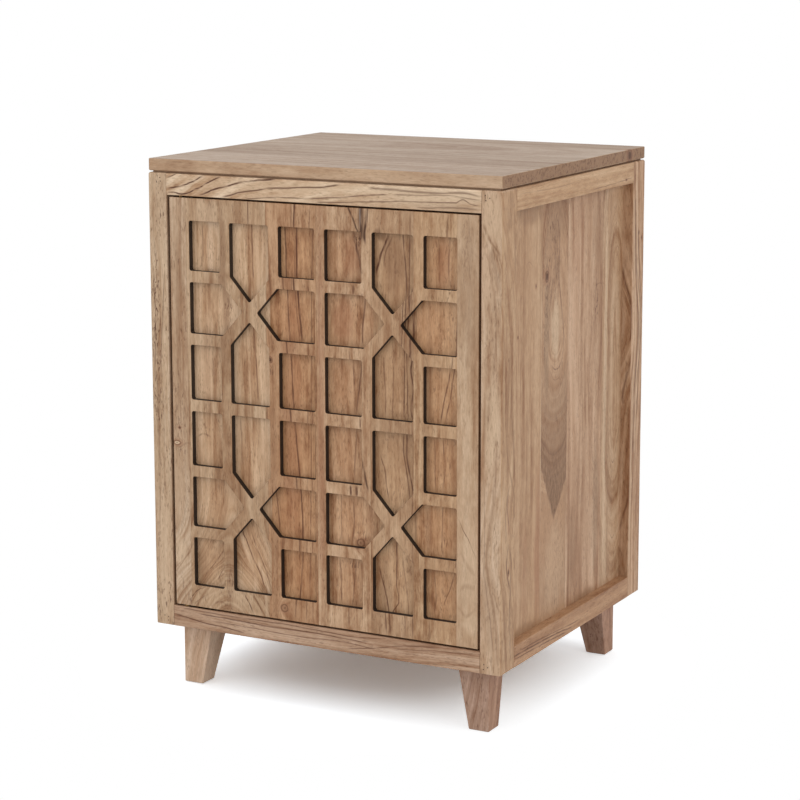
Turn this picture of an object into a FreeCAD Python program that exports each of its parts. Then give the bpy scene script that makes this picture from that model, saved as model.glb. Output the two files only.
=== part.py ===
import FreeCAD, Part
import math
import os

# Storage side table with one inset door, in millimetres.
# A frame-and-panel case of solid wood stands on four tapered legs. The door is a
# glued-up board with a fretwork pattern milled into its face. It turns on knife
# hinges at its left edge, and a magnetic push latch holds and opens its right edge.
# Origin: centre of the footprint, on the floor. +X is right seen from the front,
# the front faces -Y, and +Z is up.

Vector = FreeCAD.Vector

# ---------------------------------------------------------------- driving dimensions
WIDTH = 450.0
DEPTH = 396.0
HEIGHT = 625.0
LEG_HEIGHT = 75.0

TOP_THICKNESS = 16.0
TOP_INSET = 0.5              # the top stands this far inside the case's outline
TOP_SEAMS = (-97.0, 20.0, 140.0)
SHADOW_GAP = 2.0             # height of the dark line under the top
SHADOW_DEPTH = 4.0
TOP_NOTCH = 1.5              # chamfer along the case's upper outside edge

POST_WIDTH = 25.0
POST_DEPTH = 36.0
POST_CORNER = 2.5            # radius of a post's outside corner
RAIL_HEIGHT = 25.0
RAIL_THICKNESS = 22.0        # front and back rails; side rails are as wide as a post
EDGE_EASE = 0.5
TOP_EDGE_EASE = 1.0
SHELF_EASE = 0.8
FOOT_EASE = 0.8

TENON_THICKNESS = 8.0
TENON_TOP_SHOULDER = 4.0     # from the rail's outer edge
TENON_GROOVE_SHOULDER = 8.0  # from the rail's grooved edge
FRONT_TENON_LENGTH = 16.0
SIDE_TENON_LENGTH = 18.0

GROOVE_DEPTH = 6.0
TONGUE_DEPTH = 5.5
SIDE_PANEL_THICKNESS = 10.0
SIDE_PANEL_RECESS = 12.5
RIGHT_PANEL_SEAMS = (-68.6, 1.9, 102.2)
LEFT_PANEL_SEAMS = (-52.0, 61.0)
BACK_PANEL_THICKNESS = 8.0
BACK_PANEL_RECESS = 12.0

FLOOR_PANEL_THICKNESS = 12.0
BATTEN_WIDTH = 60.0
CLEAT_DEPTH = 40.0

LEG_TOP = 39.4
LEG_FOOT = 25.2
LEG_INSET_X = 24.0
LEG_INSET_Y = 22.0
LEG_EASE = 1.2
GLIDE_RADIUS = 8.0
GLIDE_THICKNESS = 3.0
GLIDE_PROUD = 0.8

SHELF_THICKNESS = 16.0
SHELF_SIDE_GAP = 1.5
SHELF_BACK_GAP = 6.0
SHELF_DOOR_GAP = 1.0         # between the shelf and the door as it swings
SHELF_PIN_RADIUS = 2.5
SHELF_PIN_LENGTH = 18.0
SHELF_PIN_HOLE_DEPTH = 9.5
SHELF_PIN_HEIGHTS = (298.0, 330.0, 362.0)
SHELF_PIN_USED = 1
SHELF_PIN_FROM_FRONT = 1.6   # the pin's axis behind the shelf's front edge, clear of the groove

DOOR_THICKNESS = 19.0
DOOR_SET_BACK = 0.5
DOOR_SIDE_GAP = 3.0
DOOR_END_GAP = 2.0
DOOR_FRONT_EASE = 1.0
DOOR_BACK_EASE = 0.6
DOOR_SEAMS = (-175.0, -69.0, -4.0, 64.0, 118.0, 171.0)

# The fretwork: two by two equal cells. Each cell has four corner rectangles and,
# between them, four pentagons whose points meet around a diagonal cross.
POCKET_DEPTH = 8.0
POCKET_CORNER = 2.5
POCKET_RIM_EASE = 0.4
CELL_X = 91.6                # cell centre from the door's centre
CELL_Z = 113.7
WIDE_HALF = 25.6             # half the width of an upright pentagon
HIGH_HALF = 29.7             # half the height of a lying pentagon
BAR_X = 12.7                 # width of the upright bars
BAR_Z = 13.1                 # height of the level bars
OUTER_X = 41.2               # width of a rectangle beside the door's edge
INNER_X = 47.1               # width of a rectangle beside the door's centre line
OUTER_Z = 57.6
INNER_Z = 64.1
DIAGONAL_ANGLE = math.radians(48.0)
DIAGONAL_BAR = 14.2

PIVOT_FROM_EDGE = 12.0       # hinge axis from the door's left edge
PIVOT_FROM_FACE = 6.0        # hinge axis from the door's front face
LEAF_WIDTH = 8.0
LEAF_LENGTH = 44.0
LEAF_THICKNESS = 2.4
PIN_RADIUS = 2.0
RUNNING_CLEARANCE = 0.05
PIN_END_GAP = 0.2            # a pin stops this far inside the leaf that it turns in
LEAF_SCREWS = (15.0, 33.0)   # from the hinge axis along the leaf

LATCH_X = 147.0
LATCH_WIDTH = 14.0
LATCH_HEIGHT = 14.0
LATCH_LENGTH = 50.0
LATCH_AXIS_DROP = 7.0        # plunger axis below the cleat
LATCH_NOSE_LENGTH = 10.5
LATCH_END_WALL = 2.0
LATCH_EASE = 1.0
LATCH_FLANGE = (8.0, 26.0)    # from the housing's front
LATCH_FLANGE_THICKNESS = 2.0
PLUNGER_RADIUS = 3.5
COLLAR_RADIUS = 4.5
COLLAR_LENGTH = 3.0
PLUNGER_LENGTH = 30.0
MAGNET_RADIUS = 4.5
MAGNET_LENGTH = 3.0
MAGNET_EASE = 0.3
STRIKE_GAP = 0.3
STRIKE_THICKNESS = 1.2
STRIKE_SIZE = (26.0, 12.0)
STRIKE_CORNER = 2.0
STRIKE_DROP = 2.0            # the plate's middle below the magnet's
STRIKE_SCREW_FROM_END = 4.0
STRIKE_SCREW_LENGTH = 8.5
SPRING_WIRE = 0.7
SPRING_RADIUS = 3.8

SCREW_SHANK = 1.25
SCREW_HEAD = 2.5
SCREW_LENGTH = 13.0
RECESS_REACH = 0.6           # a cross recess's arms, as a share of the head's radius,
RECESS_ARM = 0.13            # half their width, as the same share,
RECESS_DEPTH = 0.45          # and their depth
TOP_SCREW_SHANK = 2.0
TOP_SCREW_HEAD = 4.0
TOP_SCREW_LENGTH = 30.0
TOP_SCREW_SINK = 4.0
TOP_SCREW_ROOM = 0.5         # between the head and the wall of its sunk hole
TOP_SCREW_X = (-150.0, 0.0, 150.0)
BOLT_RADIUS = 4.0
BOLT_IN_LEG = 30.0
BOLT_END_GAP = 0.5
BARREL_RADIUS = 5.5
BARREL_GAP = 1.0             # between the nut's lower end and the leg
FLANGE_RADIUS = 9.0
FLANGE_THICKNESS = 1.5
BRAD_RADIUS = 0.7
BRAD_LENGTH = 15.0
BRAD_SINK = 0.2
# Brads at a front joint: distance from the opening's side, and from the case's end.
RIGHT_BRADS = ((4.5, 5.4), (9.8, 8.2), (5.2, 11.0))
LEFT_BRADS = ((8.6, 5.4), (8.0, 9.6), (13.2, 10.8))

OVERSHOOT = 1.0              # how far cutters, and parts that are fused, run past a face
SAME_PLACE = 0.01            # coordinates nearer than this are the same
MARGIN = 0.1                 # and further apart than this they are plainly not

# ------------------------------------------------------------------ derived positions
HALF_WIDTH = WIDTH / 2
HALF_DEPTH = DEPTH / 2
CASE_BOTTOM = LEG_HEIGHT
CASE_TOP = HEIGHT - TOP_THICKNESS
OPENING_X = HALF_WIDTH - POST_WIDTH
OPENING_LOW = CASE_BOTTOM + RAIL_HEIGHT
OPENING_HIGH = CASE_TOP - RAIL_HEIGHT
POST_INNER_Y = HALF_DEPTH - POST_DEPTH
RAIL_INNER_Y = HALF_DEPTH - RAIL_THICKNESS
SIDE_PANEL_X = (HALF_WIDTH - SIDE_PANEL_RECESS - SIDE_PANEL_THICKNESS,
                HALF_WIDTH - SIDE_PANEL_RECESS)
BACK_PANEL_Y = (HALF_DEPTH - BACK_PANEL_RECESS - BACK_PANEL_THICKNESS,
                HALF_DEPTH - BACK_PANEL_RECESS)
FRONT_TENON_Y = (HALF_DEPTH - RAIL_THICKNESS / 2 - TENON_THICKNESS / 2,
                 HALF_DEPTH - RAIL_THICKNESS / 2 + TENON_THICKNESS / 2)
SIDE_TENON_X = (HALF_WIDTH - POST_WIDTH / 2 - TENON_THICKNESS / 2,
                HALF_WIDTH - POST_WIDTH / 2 + TENON_THICKNESS / 2)
LOW_TENON_Z = (CASE_BOTTOM + TENON_TOP_SHOULDER, OPENING_LOW - TENON_GROOVE_SHOULDER)
HIGH_TENON_Z = (OPENING_HIGH + TENON_GROOVE_SHOULDER, CASE_TOP - TENON_TOP_SHOULDER)
TENON_HEIGHTS = (LOW_TENON_Z, HIGH_TENON_Z)
GROOVE_Z = (OPENING_LOW - GROOVE_DEPTH, OPENING_HIGH + GROOVE_DEPTH)
PANEL_Z = (OPENING_LOW - TONGUE_DEPTH, OPENING_HIGH + TONGUE_DEPTH)

DOOR_X = OPENING_X - DOOR_SIDE_GAP
DOOR_LOW = OPENING_LOW + DOOR_END_GAP
DOOR_HIGH = OPENING_HIGH - DOOR_END_GAP
DOOR_MIDDLE = (DOOR_LOW + DOOR_HIGH) / 2
DOOR_FRONT = -HALF_DEPTH + DOOR_SET_BACK
DOOR_BACK = DOOR_FRONT + DOOR_THICKNESS
PIVOT_X = -DOOR_X + PIVOT_FROM_EDGE
PIVOT_Y = DOOR_FRONT + PIVOT_FROM_FACE
DOOR_SWEEP = math.hypot(PIVOT_FROM_EDGE, DOOR_BACK - PIVOT_Y)

SHELF_FRONT = PIVOT_Y + DOOR_SWEEP + SHELF_DOOR_GAP
SHELF_BACK = BACK_PANEL_Y[0] - SHELF_BACK_GAP
SHELF_PIN_Y = -SHELF_FRONT - SHELF_PIN_FROM_FRONT
FLOOR_PANEL_LOW = OPENING_LOW - FLOOR_PANEL_THICKNESS

LEG_OUTER_X = HALF_WIDTH - LEG_INSET_X
LEG_OUTER_Y = HALF_DEPTH - LEG_INSET_Y
LEG_MIDDLE = (LEG_OUTER_X - LEG_TOP / 2, LEG_OUTER_Y - LEG_TOP / 2)
FOOT_MIDDLE = (LEG_OUTER_X - LEG_FOOT / 2, LEG_OUTER_Y - LEG_FOOT / 2)

LATCH_Z = OPENING_HIGH - LATCH_AXIS_DROP
STRIKE_Z = LATCH_Z - STRIKE_DROP
STRIKE_BACK = DOOR_BACK + STRIKE_THICKNESS
MAGNET_FRONT = STRIKE_BACK + STRIKE_GAP
LATCH_FRONT = MAGNET_FRONT + MAGNET_LENGTH + RUNNING_CLEARANCE
COLLAR_BACK = LATCH_FRONT + PLUNGER_LENGTH

X_AXIS = Vector(1, 0, 0)
Y_AXIS = Vector(0, 1, 0)
Z_AXIS = Vector(0, 0, 1)


# --------------------------------------------------------------------------- helpers
def box(x, y, z):
    """A block between pairs of low and high coordinates."""
    size = (x[1] - x[0], y[1] - y[0], z[1] - z[0])
    return Part.makeBox(*size, Vector(x[0], y[0], z[0]))


def rod(radius, start, end):
    """A round bar from one point to another."""
    run = end - start
    return Part.makeCylinder(radius, run.Length, start, run)


def mirror_x(shape):
    return shape.mirror(Vector(0, 0, 0), X_AXIS)


def mirror_y(shape):
    return shape.mirror(Vector(0, 0, 0), Y_AXIS)


def four_corners(shape):
    """The shape and its copies in the other three corners of the footprint."""
    pair = [shape, mirror_x(shape)]
    return pair + [mirror_y(part) for part in pair]


def edges_at(shape, **wanted):
    """Straight or curved edges whose whole length lies at the given coordinates."""
    found = []
    for edge in shape.Edges:
        limits = edge.BoundBox
        spans = {"x": (limits.XMin, limits.XMax), "y": (limits.YMin, limits.YMax),
                 "z": (limits.ZMin, limits.ZMax)}
        if all(abs(end - value) < SAME_PLACE
               for axis, value in wanted.items() for end in spans[axis]):
            found.append(edge)
    return found


def eased_box(x, y, z, ease=EDGE_EASE):
    block = box(x, y, z)
    return block.makeChamfer(ease, block.Edges)


def tapered_screw(head, direction, head_radius, shank_radius, length):
    """A countersunk screw whose flat head lies at a point, with its tip along direction.
    Its head is still plain, so that it also serves as the cutter of its own hole."""
    sink = head_radius - shank_radius
    cone = Part.makeCone(head_radius, shank_radius, sink, head, direction)
    shank = rod(shank_radius, head + direction * sink, head + direction * (length - shank_radius))
    tip = Part.makeCone(shank_radius, 0, shank_radius,
                        head + direction * (length - shank_radius), direction)
    return cone.fuse([shank, tip]).removeSplitter()


def cross_recess(head, direction, head_radius):
    """The cutter of the cross recess in a screw's head."""
    reach, arm = head_radius * RECESS_REACH, head_radius * RECESS_ARM
    depth = (-OVERSHOOT, head_radius * RECESS_DEPTH)
    cutter = box((-reach, reach), (-arm, arm), depth).fuse(box((-arm, arm), (-reach, reach), depth))
    cutter.Placement = FreeCAD.Placement(head, FreeCAD.Rotation(Z_AXIS, direction))
    return cutter


def recessed(screws, direction, head_radius=SCREW_HEAD):
    """Screws that all point one way, with their cross recesses cut."""
    finished = []
    for screw in screws:
        limits = screw.BoundBox
        half = Vector(limits.XLength, limits.YLength, limits.ZLength) / 2
        head = limits.Center - direction * abs(direction.dot(half))
        finished.append(single(screw.cut(cross_recess(head, direction, head_radius))))
    return finished


def sliced(panel, seams, axis):
    """The boards that a glued-up panel is made of, cut at its seams along one axis."""
    limits = panel.BoundBox
    limits.enlarge(OVERSHOOT)
    spans = [[limits.XMin, limits.XMax], [limits.YMin, limits.YMax], [limits.ZMin, limits.ZMax]]
    ends = [spans[axis][0], *seams, spans[axis][1]]
    boards = []
    for low, high in zip(ends, ends[1:]):
        spans[axis] = [low, high]
        boards.append(panel.common(box(*spans)))
    return boards


def single(shape):
    """The only solid of a boolean result."""
    assert len(shape.Solids) == 1, len(shape.Solids)
    return shape.Solids[0]


# ------------------------------------------------------------------------- the frame
def front_tenons(z):
    """Tenons of a front rail, at both ends."""
    tenon = box((OPENING_X - OVERSHOOT, OPENING_X + FRONT_TENON_LENGTH),
                (-FRONT_TENON_Y[1], -FRONT_TENON_Y[0]), z)
    return [tenon, mirror_x(tenon)]


def side_tenons(z):
    """Tenons of the right side rail, at both ends."""
    tenon = box(SIDE_TENON_X, (POST_INNER_Y - OVERSHOOT, POST_INNER_Y + SIDE_TENON_LENGTH), z)
    return [tenon, mirror_y(tenon)]


def brad_points(pattern):
    """Where brads enter the front of the right-hand post, at its top and bottom joints."""
    for from_side, from_end in pattern:
        for z in (CASE_BOTTOM + from_end, CASE_TOP - from_end):
            yield Vector(OPENING_X + from_side, -HALF_DEPTH + BRAD_SINK, z)


def brads():
    """All brads of the front joints."""
    right = [rod(BRAD_RADIUS, point, point + Y_AXIS * BRAD_LENGTH)
             for point in brad_points(RIGHT_BRADS)]
    left = [mirror_x(rod(BRAD_RADIUS, point, point + Y_AXIS * BRAD_LENGTH))
            for point in brad_points(LEFT_BRADS)]
    return right + left


def brad_holes():
    """The brads with the shallow dents that their heads leave in the wood."""
    return [rod(BRAD_RADIUS, nail.BoundBox.Center - Y_AXIS * BRAD_LENGTH,
                nail.BoundBox.Center + Y_AXIS * BRAD_LENGTH / 2) for nail in brads()]


def shelf_pin_holes():
    """Blind holes in the right-hand posts' inner faces, front and back."""
    holes = []
    for z in SHELF_PIN_HEIGHTS:
        for y in (-SHELF_PIN_Y, SHELF_PIN_Y):
            start = Vector(OPENING_X, y, z)
            holes.append(rod(SHELF_PIN_RADIUS, start, start + X_AXIS * SHELF_PIN_HOLE_DEPTH))
    return holes


def post_blank():
    """The right front post with its edges worked, before any joint is cut."""
    blank = box((OPENING_X, HALF_WIDTH), (-HALF_DEPTH, -POST_INNER_Y), (CASE_BOTTOM, CASE_TOP))
    blank = blank.makeFillet(POST_CORNER, edges_at(blank, x=HALF_WIDTH, y=-HALF_DEPTH))
    for x, y in ((OPENING_X, -HALF_DEPTH), (HALF_WIDTH, -POST_INNER_Y), (OPENING_X, -POST_INNER_Y)):
        blank = blank.makeChamfer(EDGE_EASE, edges_at(blank, x=x, y=y))
    outside = [edge for edge in edges_at(blank, z=CASE_TOP)
               if edge.BoundBox.XMax > OPENING_X + EDGE_EASE + MARGIN
               and edge.BoundBox.YMin < -POST_INNER_Y - EDGE_EASE - MARGIN]
    blank = blank.makeChamfer(TOP_NOTCH, outside)
    return blank.makeChamfer(FOOT_EASE, edges_at(blank, z=CASE_BOTTOM))


def post_joints():
    """What is cut into every right-hand post, as it lies in the front one."""
    groove = box(SIDE_PANEL_X, (-POST_INNER_Y - GROOVE_DEPTH, -POST_INNER_Y + OVERSHOOT),
                 GROOVE_Z)
    joints = [groove] + shelf_pin_holes()
    for z in TENON_HEIGHTS:
        joints += front_tenons(z) + side_tenons(z)
    return joints


def front_post(left):
    """A front post; the two sides have different brad patterns."""
    post = post_blank().cut(post_joints())
    if left:
        post = mirror_x(post)
    return single(post.cut(brad_holes()))


def right_back_post():
    groove = box((OPENING_X - OVERSHOOT, OPENING_X + GROOVE_DEPTH), BACK_PANEL_Y, GROOVE_Z)
    return single(mirror_y(post_blank().cut(post_joints())).cut(groove))


def rail_blank(x, y, z, notch):
    """A rail with its long edges eased; the edge at notch gets the deeper top chamfer."""
    blank = box(x, y, z)
    if notch:
        blank = blank.makeChamfer(TOP_NOTCH, edges_at(blank, **notch))
    inside = [edge for edge in blank.Edges if edge.BoundBox.DiagonalLength > POST_WIDTH * 2
              and not (notch and abs(edge.BoundBox.ZMax - z[1]) < TOP_NOTCH + SAME_PLACE)]
    return blank.makeChamfer(EDGE_EASE, inside)


def front_rail(high):
    """The rail above or below the door."""
    z = (OPENING_HIGH, CASE_TOP) if high else (CASE_BOTTOM, OPENING_LOW)
    notch = {"y": -HALF_DEPTH, "z": CASE_TOP} if high else None
    blank = rail_blank((-OPENING_X, OPENING_X), (-HALF_DEPTH, -RAIL_INNER_Y), z, notch)
    rail = blank.fuse(front_tenons(HIGH_TENON_Z if high else LOW_TENON_Z)).removeSplitter()
    leaf = frame_leaf_recess(high)
    return single(rail.cut(brad_holes() + [leaf] + frame_leaf_screws(high)))


def back_rail(high):
    """The rail above or below the back panel, grooved for it."""
    z = (OPENING_HIGH, CASE_TOP) if high else (CASE_BOTTOM, OPENING_LOW)
    notch = {"y": HALF_DEPTH, "z": CASE_TOP} if high else None
    blank = rail_blank((-OPENING_X, OPENING_X), (RAIL_INNER_Y, HALF_DEPTH), z, notch)
    tenons = [mirror_y(tenon) for tenon in front_tenons(HIGH_TENON_Z if high else LOW_TENON_Z)]
    return single(blank.fuse(tenons).removeSplitter().cut(back_panel_groove()))


def side_rail(high):
    """The right side rail above or below the side panel, grooved for it."""
    z = (OPENING_HIGH, CASE_TOP) if high else (CASE_BOTTOM, OPENING_LOW)
    notch = {"x": HALF_WIDTH, "z": CASE_TOP} if high else None
    blank = rail_blank((OPENING_X, HALF_WIDTH), (-POST_INNER_Y, POST_INNER_Y), z, notch)
    rail = blank.fuse(side_tenons(HIGH_TENON_Z if high else LOW_TENON_Z)).removeSplitter()
    return single(rail.cut(side_panel_groove()))


def side_panel_groove():
    return box(SIDE_PANEL_X, (-POST_INNER_Y, POST_INNER_Y), GROOVE_Z)


def back_panel_groove():
    return box((-OPENING_X, OPENING_X), BACK_PANEL_Y, GROOVE_Z)


# ---------------------------------------------------------------- panels, top, shelf
def side_panel():
    """The right side panel, its edges held in the grooves with a little room to move."""
    return box(SIDE_PANEL_X, (-POST_INNER_Y - TONGUE_DEPTH, POST_INNER_Y + TONGUE_DEPTH),
               PANEL_Z)


def back_panel():
    return box((-OPENING_X - TONGUE_DEPTH, OPENING_X + TONGUE_DEPTH), BACK_PANEL_Y, PANEL_Z)


def floor_panel():
    return box((-OPENING_X, OPENING_X), (-RAIL_INNER_Y, RAIL_INNER_Y),
               (FLOOR_PANEL_LOW, OPENING_LOW))


def top_screws():
    """Screws from the cleats' undersides up into the top."""
    screws = []
    for x in TOP_SCREW_X:
        for y in (-cleat_middle(), cleat_middle()):
            head = Vector(x, y, OPENING_HIGH + TOP_SCREW_SINK)
            screws.append(tapered_screw(head, Z_AXIS, TOP_SCREW_HEAD, TOP_SCREW_SHANK,
                                        TOP_SCREW_LENGTH))
    return screws


def cleat_middle():
    return RAIL_INNER_Y - CLEAT_DEPTH / 2


def top_boards():
    """The table top: boards along X, with a shadow gap under its edge."""
    x = (-HALF_WIDTH + TOP_INSET, HALF_WIDTH - TOP_INSET)
    y = (-HALF_DEPTH + TOP_INSET, HALF_DEPTH - TOP_INSET)
    slab = box(x, y, (CASE_TOP + SHADOW_GAP, HEIGHT))
    slab = slab.makeFillet(POST_CORNER - TOP_INSET, [edge for edge in slab.Edges
                           if edge.BoundBox.ZLength > SHADOW_GAP])
    slab = slab.makeFillet(TOP_EDGE_EASE, edges_at(slab, z=HEIGHT))
    slab = slab.makeChamfer(TOP_EDGE_EASE, edges_at(slab, z=CASE_TOP + SHADOW_GAP))
    field = box((x[0] + SHADOW_DEPTH, x[1] - SHADOW_DEPTH),
                (y[0] + SHADOW_DEPTH, y[1] - SHADOW_DEPTH), (CASE_TOP, CASE_TOP + SHADOW_GAP))
    top = slab.fuse(field).removeSplitter().cut(top_screws())
    return sliced(top, TOP_SEAMS, 1)


def cleat():
    """The front top cleat, behind the front rail, with sunk holes for the top's screws."""
    block = eased_box((-OPENING_X, OPENING_X), (-RAIL_INNER_Y, -RAIL_INNER_Y + CLEAT_DEPTH),
                      (OPENING_HIGH, CASE_TOP))
    sinks = [rod(TOP_SCREW_HEAD + TOP_SCREW_ROOM,
                 Vector(x, -cleat_middle(), OPENING_HIGH - OVERSHOOT),
                 Vector(x, -cleat_middle(), OPENING_HIGH + TOP_SCREW_SINK))
             for x in TOP_SCREW_X]
    return single(block.cut(top_screws() + sinks))


def shelf():
    x = OPENING_X - SHELF_SIDE_GAP
    low = SHELF_PIN_HEIGHTS[SHELF_PIN_USED] + SHELF_PIN_RADIUS
    return eased_box((-x, x), (SHELF_FRONT, SHELF_BACK), (low, low + SHELF_THICKNESS), SHELF_EASE)


def shelf_pins():
    z = SHELF_PIN_HEIGHTS[SHELF_PIN_USED]
    inner = OPENING_X - SHELF_PIN_LENGTH / 2
    pin = rod(SHELF_PIN_RADIUS, Vector(inner, SHELF_PIN_Y, z),
              Vector(inner + SHELF_PIN_LENGTH, SHELF_PIN_Y, z))
    return four_corners(pin)


# ------------------------------------------------------------------------------ legs
def leg():
    """The right front leg: upright on its two outer faces, tapered on its inner ones."""
    def square(size, z):
        x = (LEG_OUTER_X - size, LEG_OUTER_X)
        y = (-LEG_OUTER_Y, -LEG_OUTER_Y + size)
        return Part.makePolygon([Vector(x[0], y[0], z), Vector(x[1], y[0], z),
                                 Vector(x[1], y[1], z), Vector(x[0], y[1], z),
                                 Vector(x[0], y[0], z)])

    block = Part.makeLoft([square(LEG_FOOT, GLIDE_PROUD), square(LEG_TOP, LEG_HEIGHT)],
                          True, True)
    block = block.makeFillet(LEG_EASE, [edge for edge in block.Edges
                             if edge.BoundBox.ZLength > LEG_HEIGHT / 2])
    block = block.makeChamfer(FOOT_EASE, edges_at(block, z=GLIDE_PROUD))
    return single(block.cut([glide(), leg_bolt()]))


def glide():
    x, y = FOOT_MIDDLE
    return rod(GLIDE_RADIUS, Vector(x, -y, 0), Vector(x, -y, GLIDE_THICKNESS))


def leg_bolt():
    x, y = LEG_MIDDLE
    return rod(BOLT_RADIUS, Vector(x, -y, LEG_HEIGHT - BOLT_IN_LEG),
               Vector(x, -y, FLOOR_PANEL_LOW - BOLT_END_GAP))


def nut_blank():
    """The outside of a flanged nut let into the batten from above."""
    x, y = LEG_MIDDLE
    flange_low = FLOOR_PANEL_LOW - FLANGE_THICKNESS
    barrel = rod(BARREL_RADIUS, Vector(x, -y, CASE_BOTTOM + BARREL_GAP),
                 Vector(x, -y, FLOOR_PANEL_LOW))
    flange = rod(FLANGE_RADIUS, Vector(x, -y, flange_low), Vector(x, -y, FLOOR_PANEL_LOW))
    return barrel.fuse(flange).removeSplitter()


def right_batten():
    """The batten under the floor panel that carries the two right-hand legs."""
    block = box((OPENING_X - BATTEN_WIDTH, OPENING_X), (-RAIL_INNER_Y, RAIL_INNER_Y),
                (CASE_BOTTOM, FLOOR_PANEL_LOW))
    holes = [nut_blank(), leg_bolt()]
    return single(block.cut(holes + [mirror_y(hole) for hole in holes]))


# ------------------------------------------------------------------------------ door
def pocket(outline):
    """A milled pocket's volume from its outline, as (x, z) points in the door's frame."""
    points = [Vector(x, DOOR_FRONT, DOOR_MIDDLE + z) for x, z in outline]
    prism = Part.Face(Part.makePolygon(points + [points[0]])).extrude(Y_AXIS * POCKET_DEPTH)
    corners = [edge for edge in prism.Edges if edge.BoundBox.YLength > POCKET_DEPTH / 2]
    return prism.makeFillet(POCKET_CORNER, corners)


def cell_pockets():
    """The eight pocket outlines of the upper right cell, around the cell's own centre."""
    slope = math.tan(DIAGONAL_ANGLE)
    point_z = DIAGONAL_BAR / 2 / math.cos(DIAGONAL_ANGLE)
    point_x = DIAGONAL_BAR / 2 / math.sin(DIAGONAL_ANGLE)
    shoulder_z = point_z + WIDE_HALF * slope
    shoulder_x = point_x + HIGH_HALF / slope
    near_x, near_z = WIDE_HALF + BAR_X, HIGH_HALF + BAR_Z
    outlines = []
    for side, reach_x in ((-1, near_x + INNER_X), (1, near_x + OUTER_X)):
        outlines.append([(side * point_x, 0), (side * shoulder_x, HIGH_HALF),
                         (side * reach_x, HIGH_HALF), (side * reach_x, -HIGH_HALF),
                         (side * shoulder_x, -HIGH_HALF)])
        for end, reach_z in ((-1, near_z + INNER_Z), (1, near_z + OUTER_Z)):
            outlines.append([(side * near_x, end * near_z), (side * reach_x, end * near_z),
                             (side * reach_x, end * reach_z), (side * near_x, end * reach_z)])
    for end, reach_z in ((-1, near_z + INNER_Z), (1, near_z + OUTER_Z)):
        outlines.append([(0, end * point_z), (WIDE_HALF, end * shoulder_z),
                         (WIDE_HALF, end * reach_z), (-WIDE_HALF, end * reach_z),
                         (-WIDE_HALF, end * shoulder_z)])
    return outlines


def door_pockets():
    pockets = []
    for outline in cell_pockets():
        for side in (-1, 1):
            for end in (-1, 1):
                placed = [(side * (CELL_X + x), end * (CELL_Z + z)) for x, z in outline]
                pockets.append(pocket(placed))
    return pockets


def door_board():
    """The whole door before it is divided into its staves."""
    board = box((-DOOR_X, DOOR_X), (DOOR_FRONT, DOOR_BACK), (DOOR_LOW, DOOR_HIGH))
    board = board.makeFillet(DOOR_FRONT_EASE, edges_at(board, y=DOOR_FRONT))
    board = board.makeChamfer(DOOR_BACK_EASE, edges_at(board, y=DOOR_BACK))
    board = board.cut(door_pockets())
    inside_x = DOOR_X - DOOR_FRONT_EASE - MARGIN
    inside_z = (DOOR_HIGH - DOOR_LOW) / 2 - DOOR_FRONT_EASE - MARGIN
    rims = [edge for edge in edges_at(board, y=DOOR_FRONT)
            if abs(edge.BoundBox.Center.x) < inside_x
            and abs(edge.BoundBox.Center.z - DOOR_MIDDLE) < inside_z]
    board = board.makeChamfer(POCKET_RIM_EASE, rims)
    hardware = [door_leaf_recess(high) for high in (False, True)]
    for high in (False, True):
        hardware += door_leaf_screws(high)
    return board.cut(hardware + strike_screws())


# ------------------------------------------------------------------------ the hinges
def leaf_outline(low, high):
    """A hinge leaf's blank: a strip with a round end about the hinge axis."""
    strip = box((PIVOT_X, PIVOT_X + LEAF_LENGTH - LEAF_WIDTH / 2),
                (PIVOT_Y - LEAF_WIDTH / 2, PIVOT_Y + LEAF_WIDTH / 2), (low, high))
    ends = [rod(LEAF_WIDTH / 2, Vector(x, PIVOT_Y, low), Vector(x, PIVOT_Y, high))
            for x in (PIVOT_X, PIVOT_X + LEAF_LENGTH - LEAF_WIDTH / 2)]
    return strip.fuse(ends).removeSplitter()


def frame_leaf_z(high):
    if high:
        return OPENING_HIGH, OPENING_HIGH + LEAF_THICKNESS
    return OPENING_LOW - LEAF_THICKNESS, OPENING_LOW


def door_leaf_z(high):
    if high:
        return DOOR_HIGH - LEAF_THICKNESS, DOOR_HIGH
    return DOOR_LOW, DOOR_LOW + LEAF_THICKNESS


def frame_leaf_recess(high):
    return leaf_outline(*frame_leaf_z(high))


def door_leaf_recess(high):
    return leaf_outline(*door_leaf_z(high))


def frame_leaf_screws(high):
    """Screws through a frame leaf, into the rail above or below the door."""
    z, direction = (OPENING_HIGH, Z_AXIS) if high else (OPENING_LOW, -Z_AXIS)
    return [tapered_screw(Vector(PIVOT_X + along, PIVOT_Y, z), direction, SCREW_HEAD,
                          SCREW_SHANK, SCREW_LENGTH) for along in LEAF_SCREWS]


def door_leaf_screws(high):
    """Screws through a door leaf, into the door's top or bottom edge."""
    z, direction = (DOOR_HIGH, -Z_AXIS) if high else (DOOR_LOW, Z_AXIS)
    return [tapered_screw(Vector(PIVOT_X + along, PIVOT_Y, z), direction, SCREW_HEAD,
                          SCREW_SHANK, SCREW_LENGTH) for along in LEAF_SCREWS]


def pivot_rod(radius, low, high):
    return rod(radius, Vector(PIVOT_X, PIVOT_Y, low), Vector(PIVOT_X, PIVOT_Y, high))


def upper_door_leaf():
    """The upper door leaf carries the pin that turns in the upper frame leaf."""
    low = door_leaf_z(True)[0]
    leaf = door_leaf_recess(True).cut(door_leaf_screws(True))
    pin = pivot_rod(PIN_RADIUS, low, OPENING_HIGH + LEAF_THICKNESS - PIN_END_GAP)
    return single(leaf.fuse(pin).removeSplitter())


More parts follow.
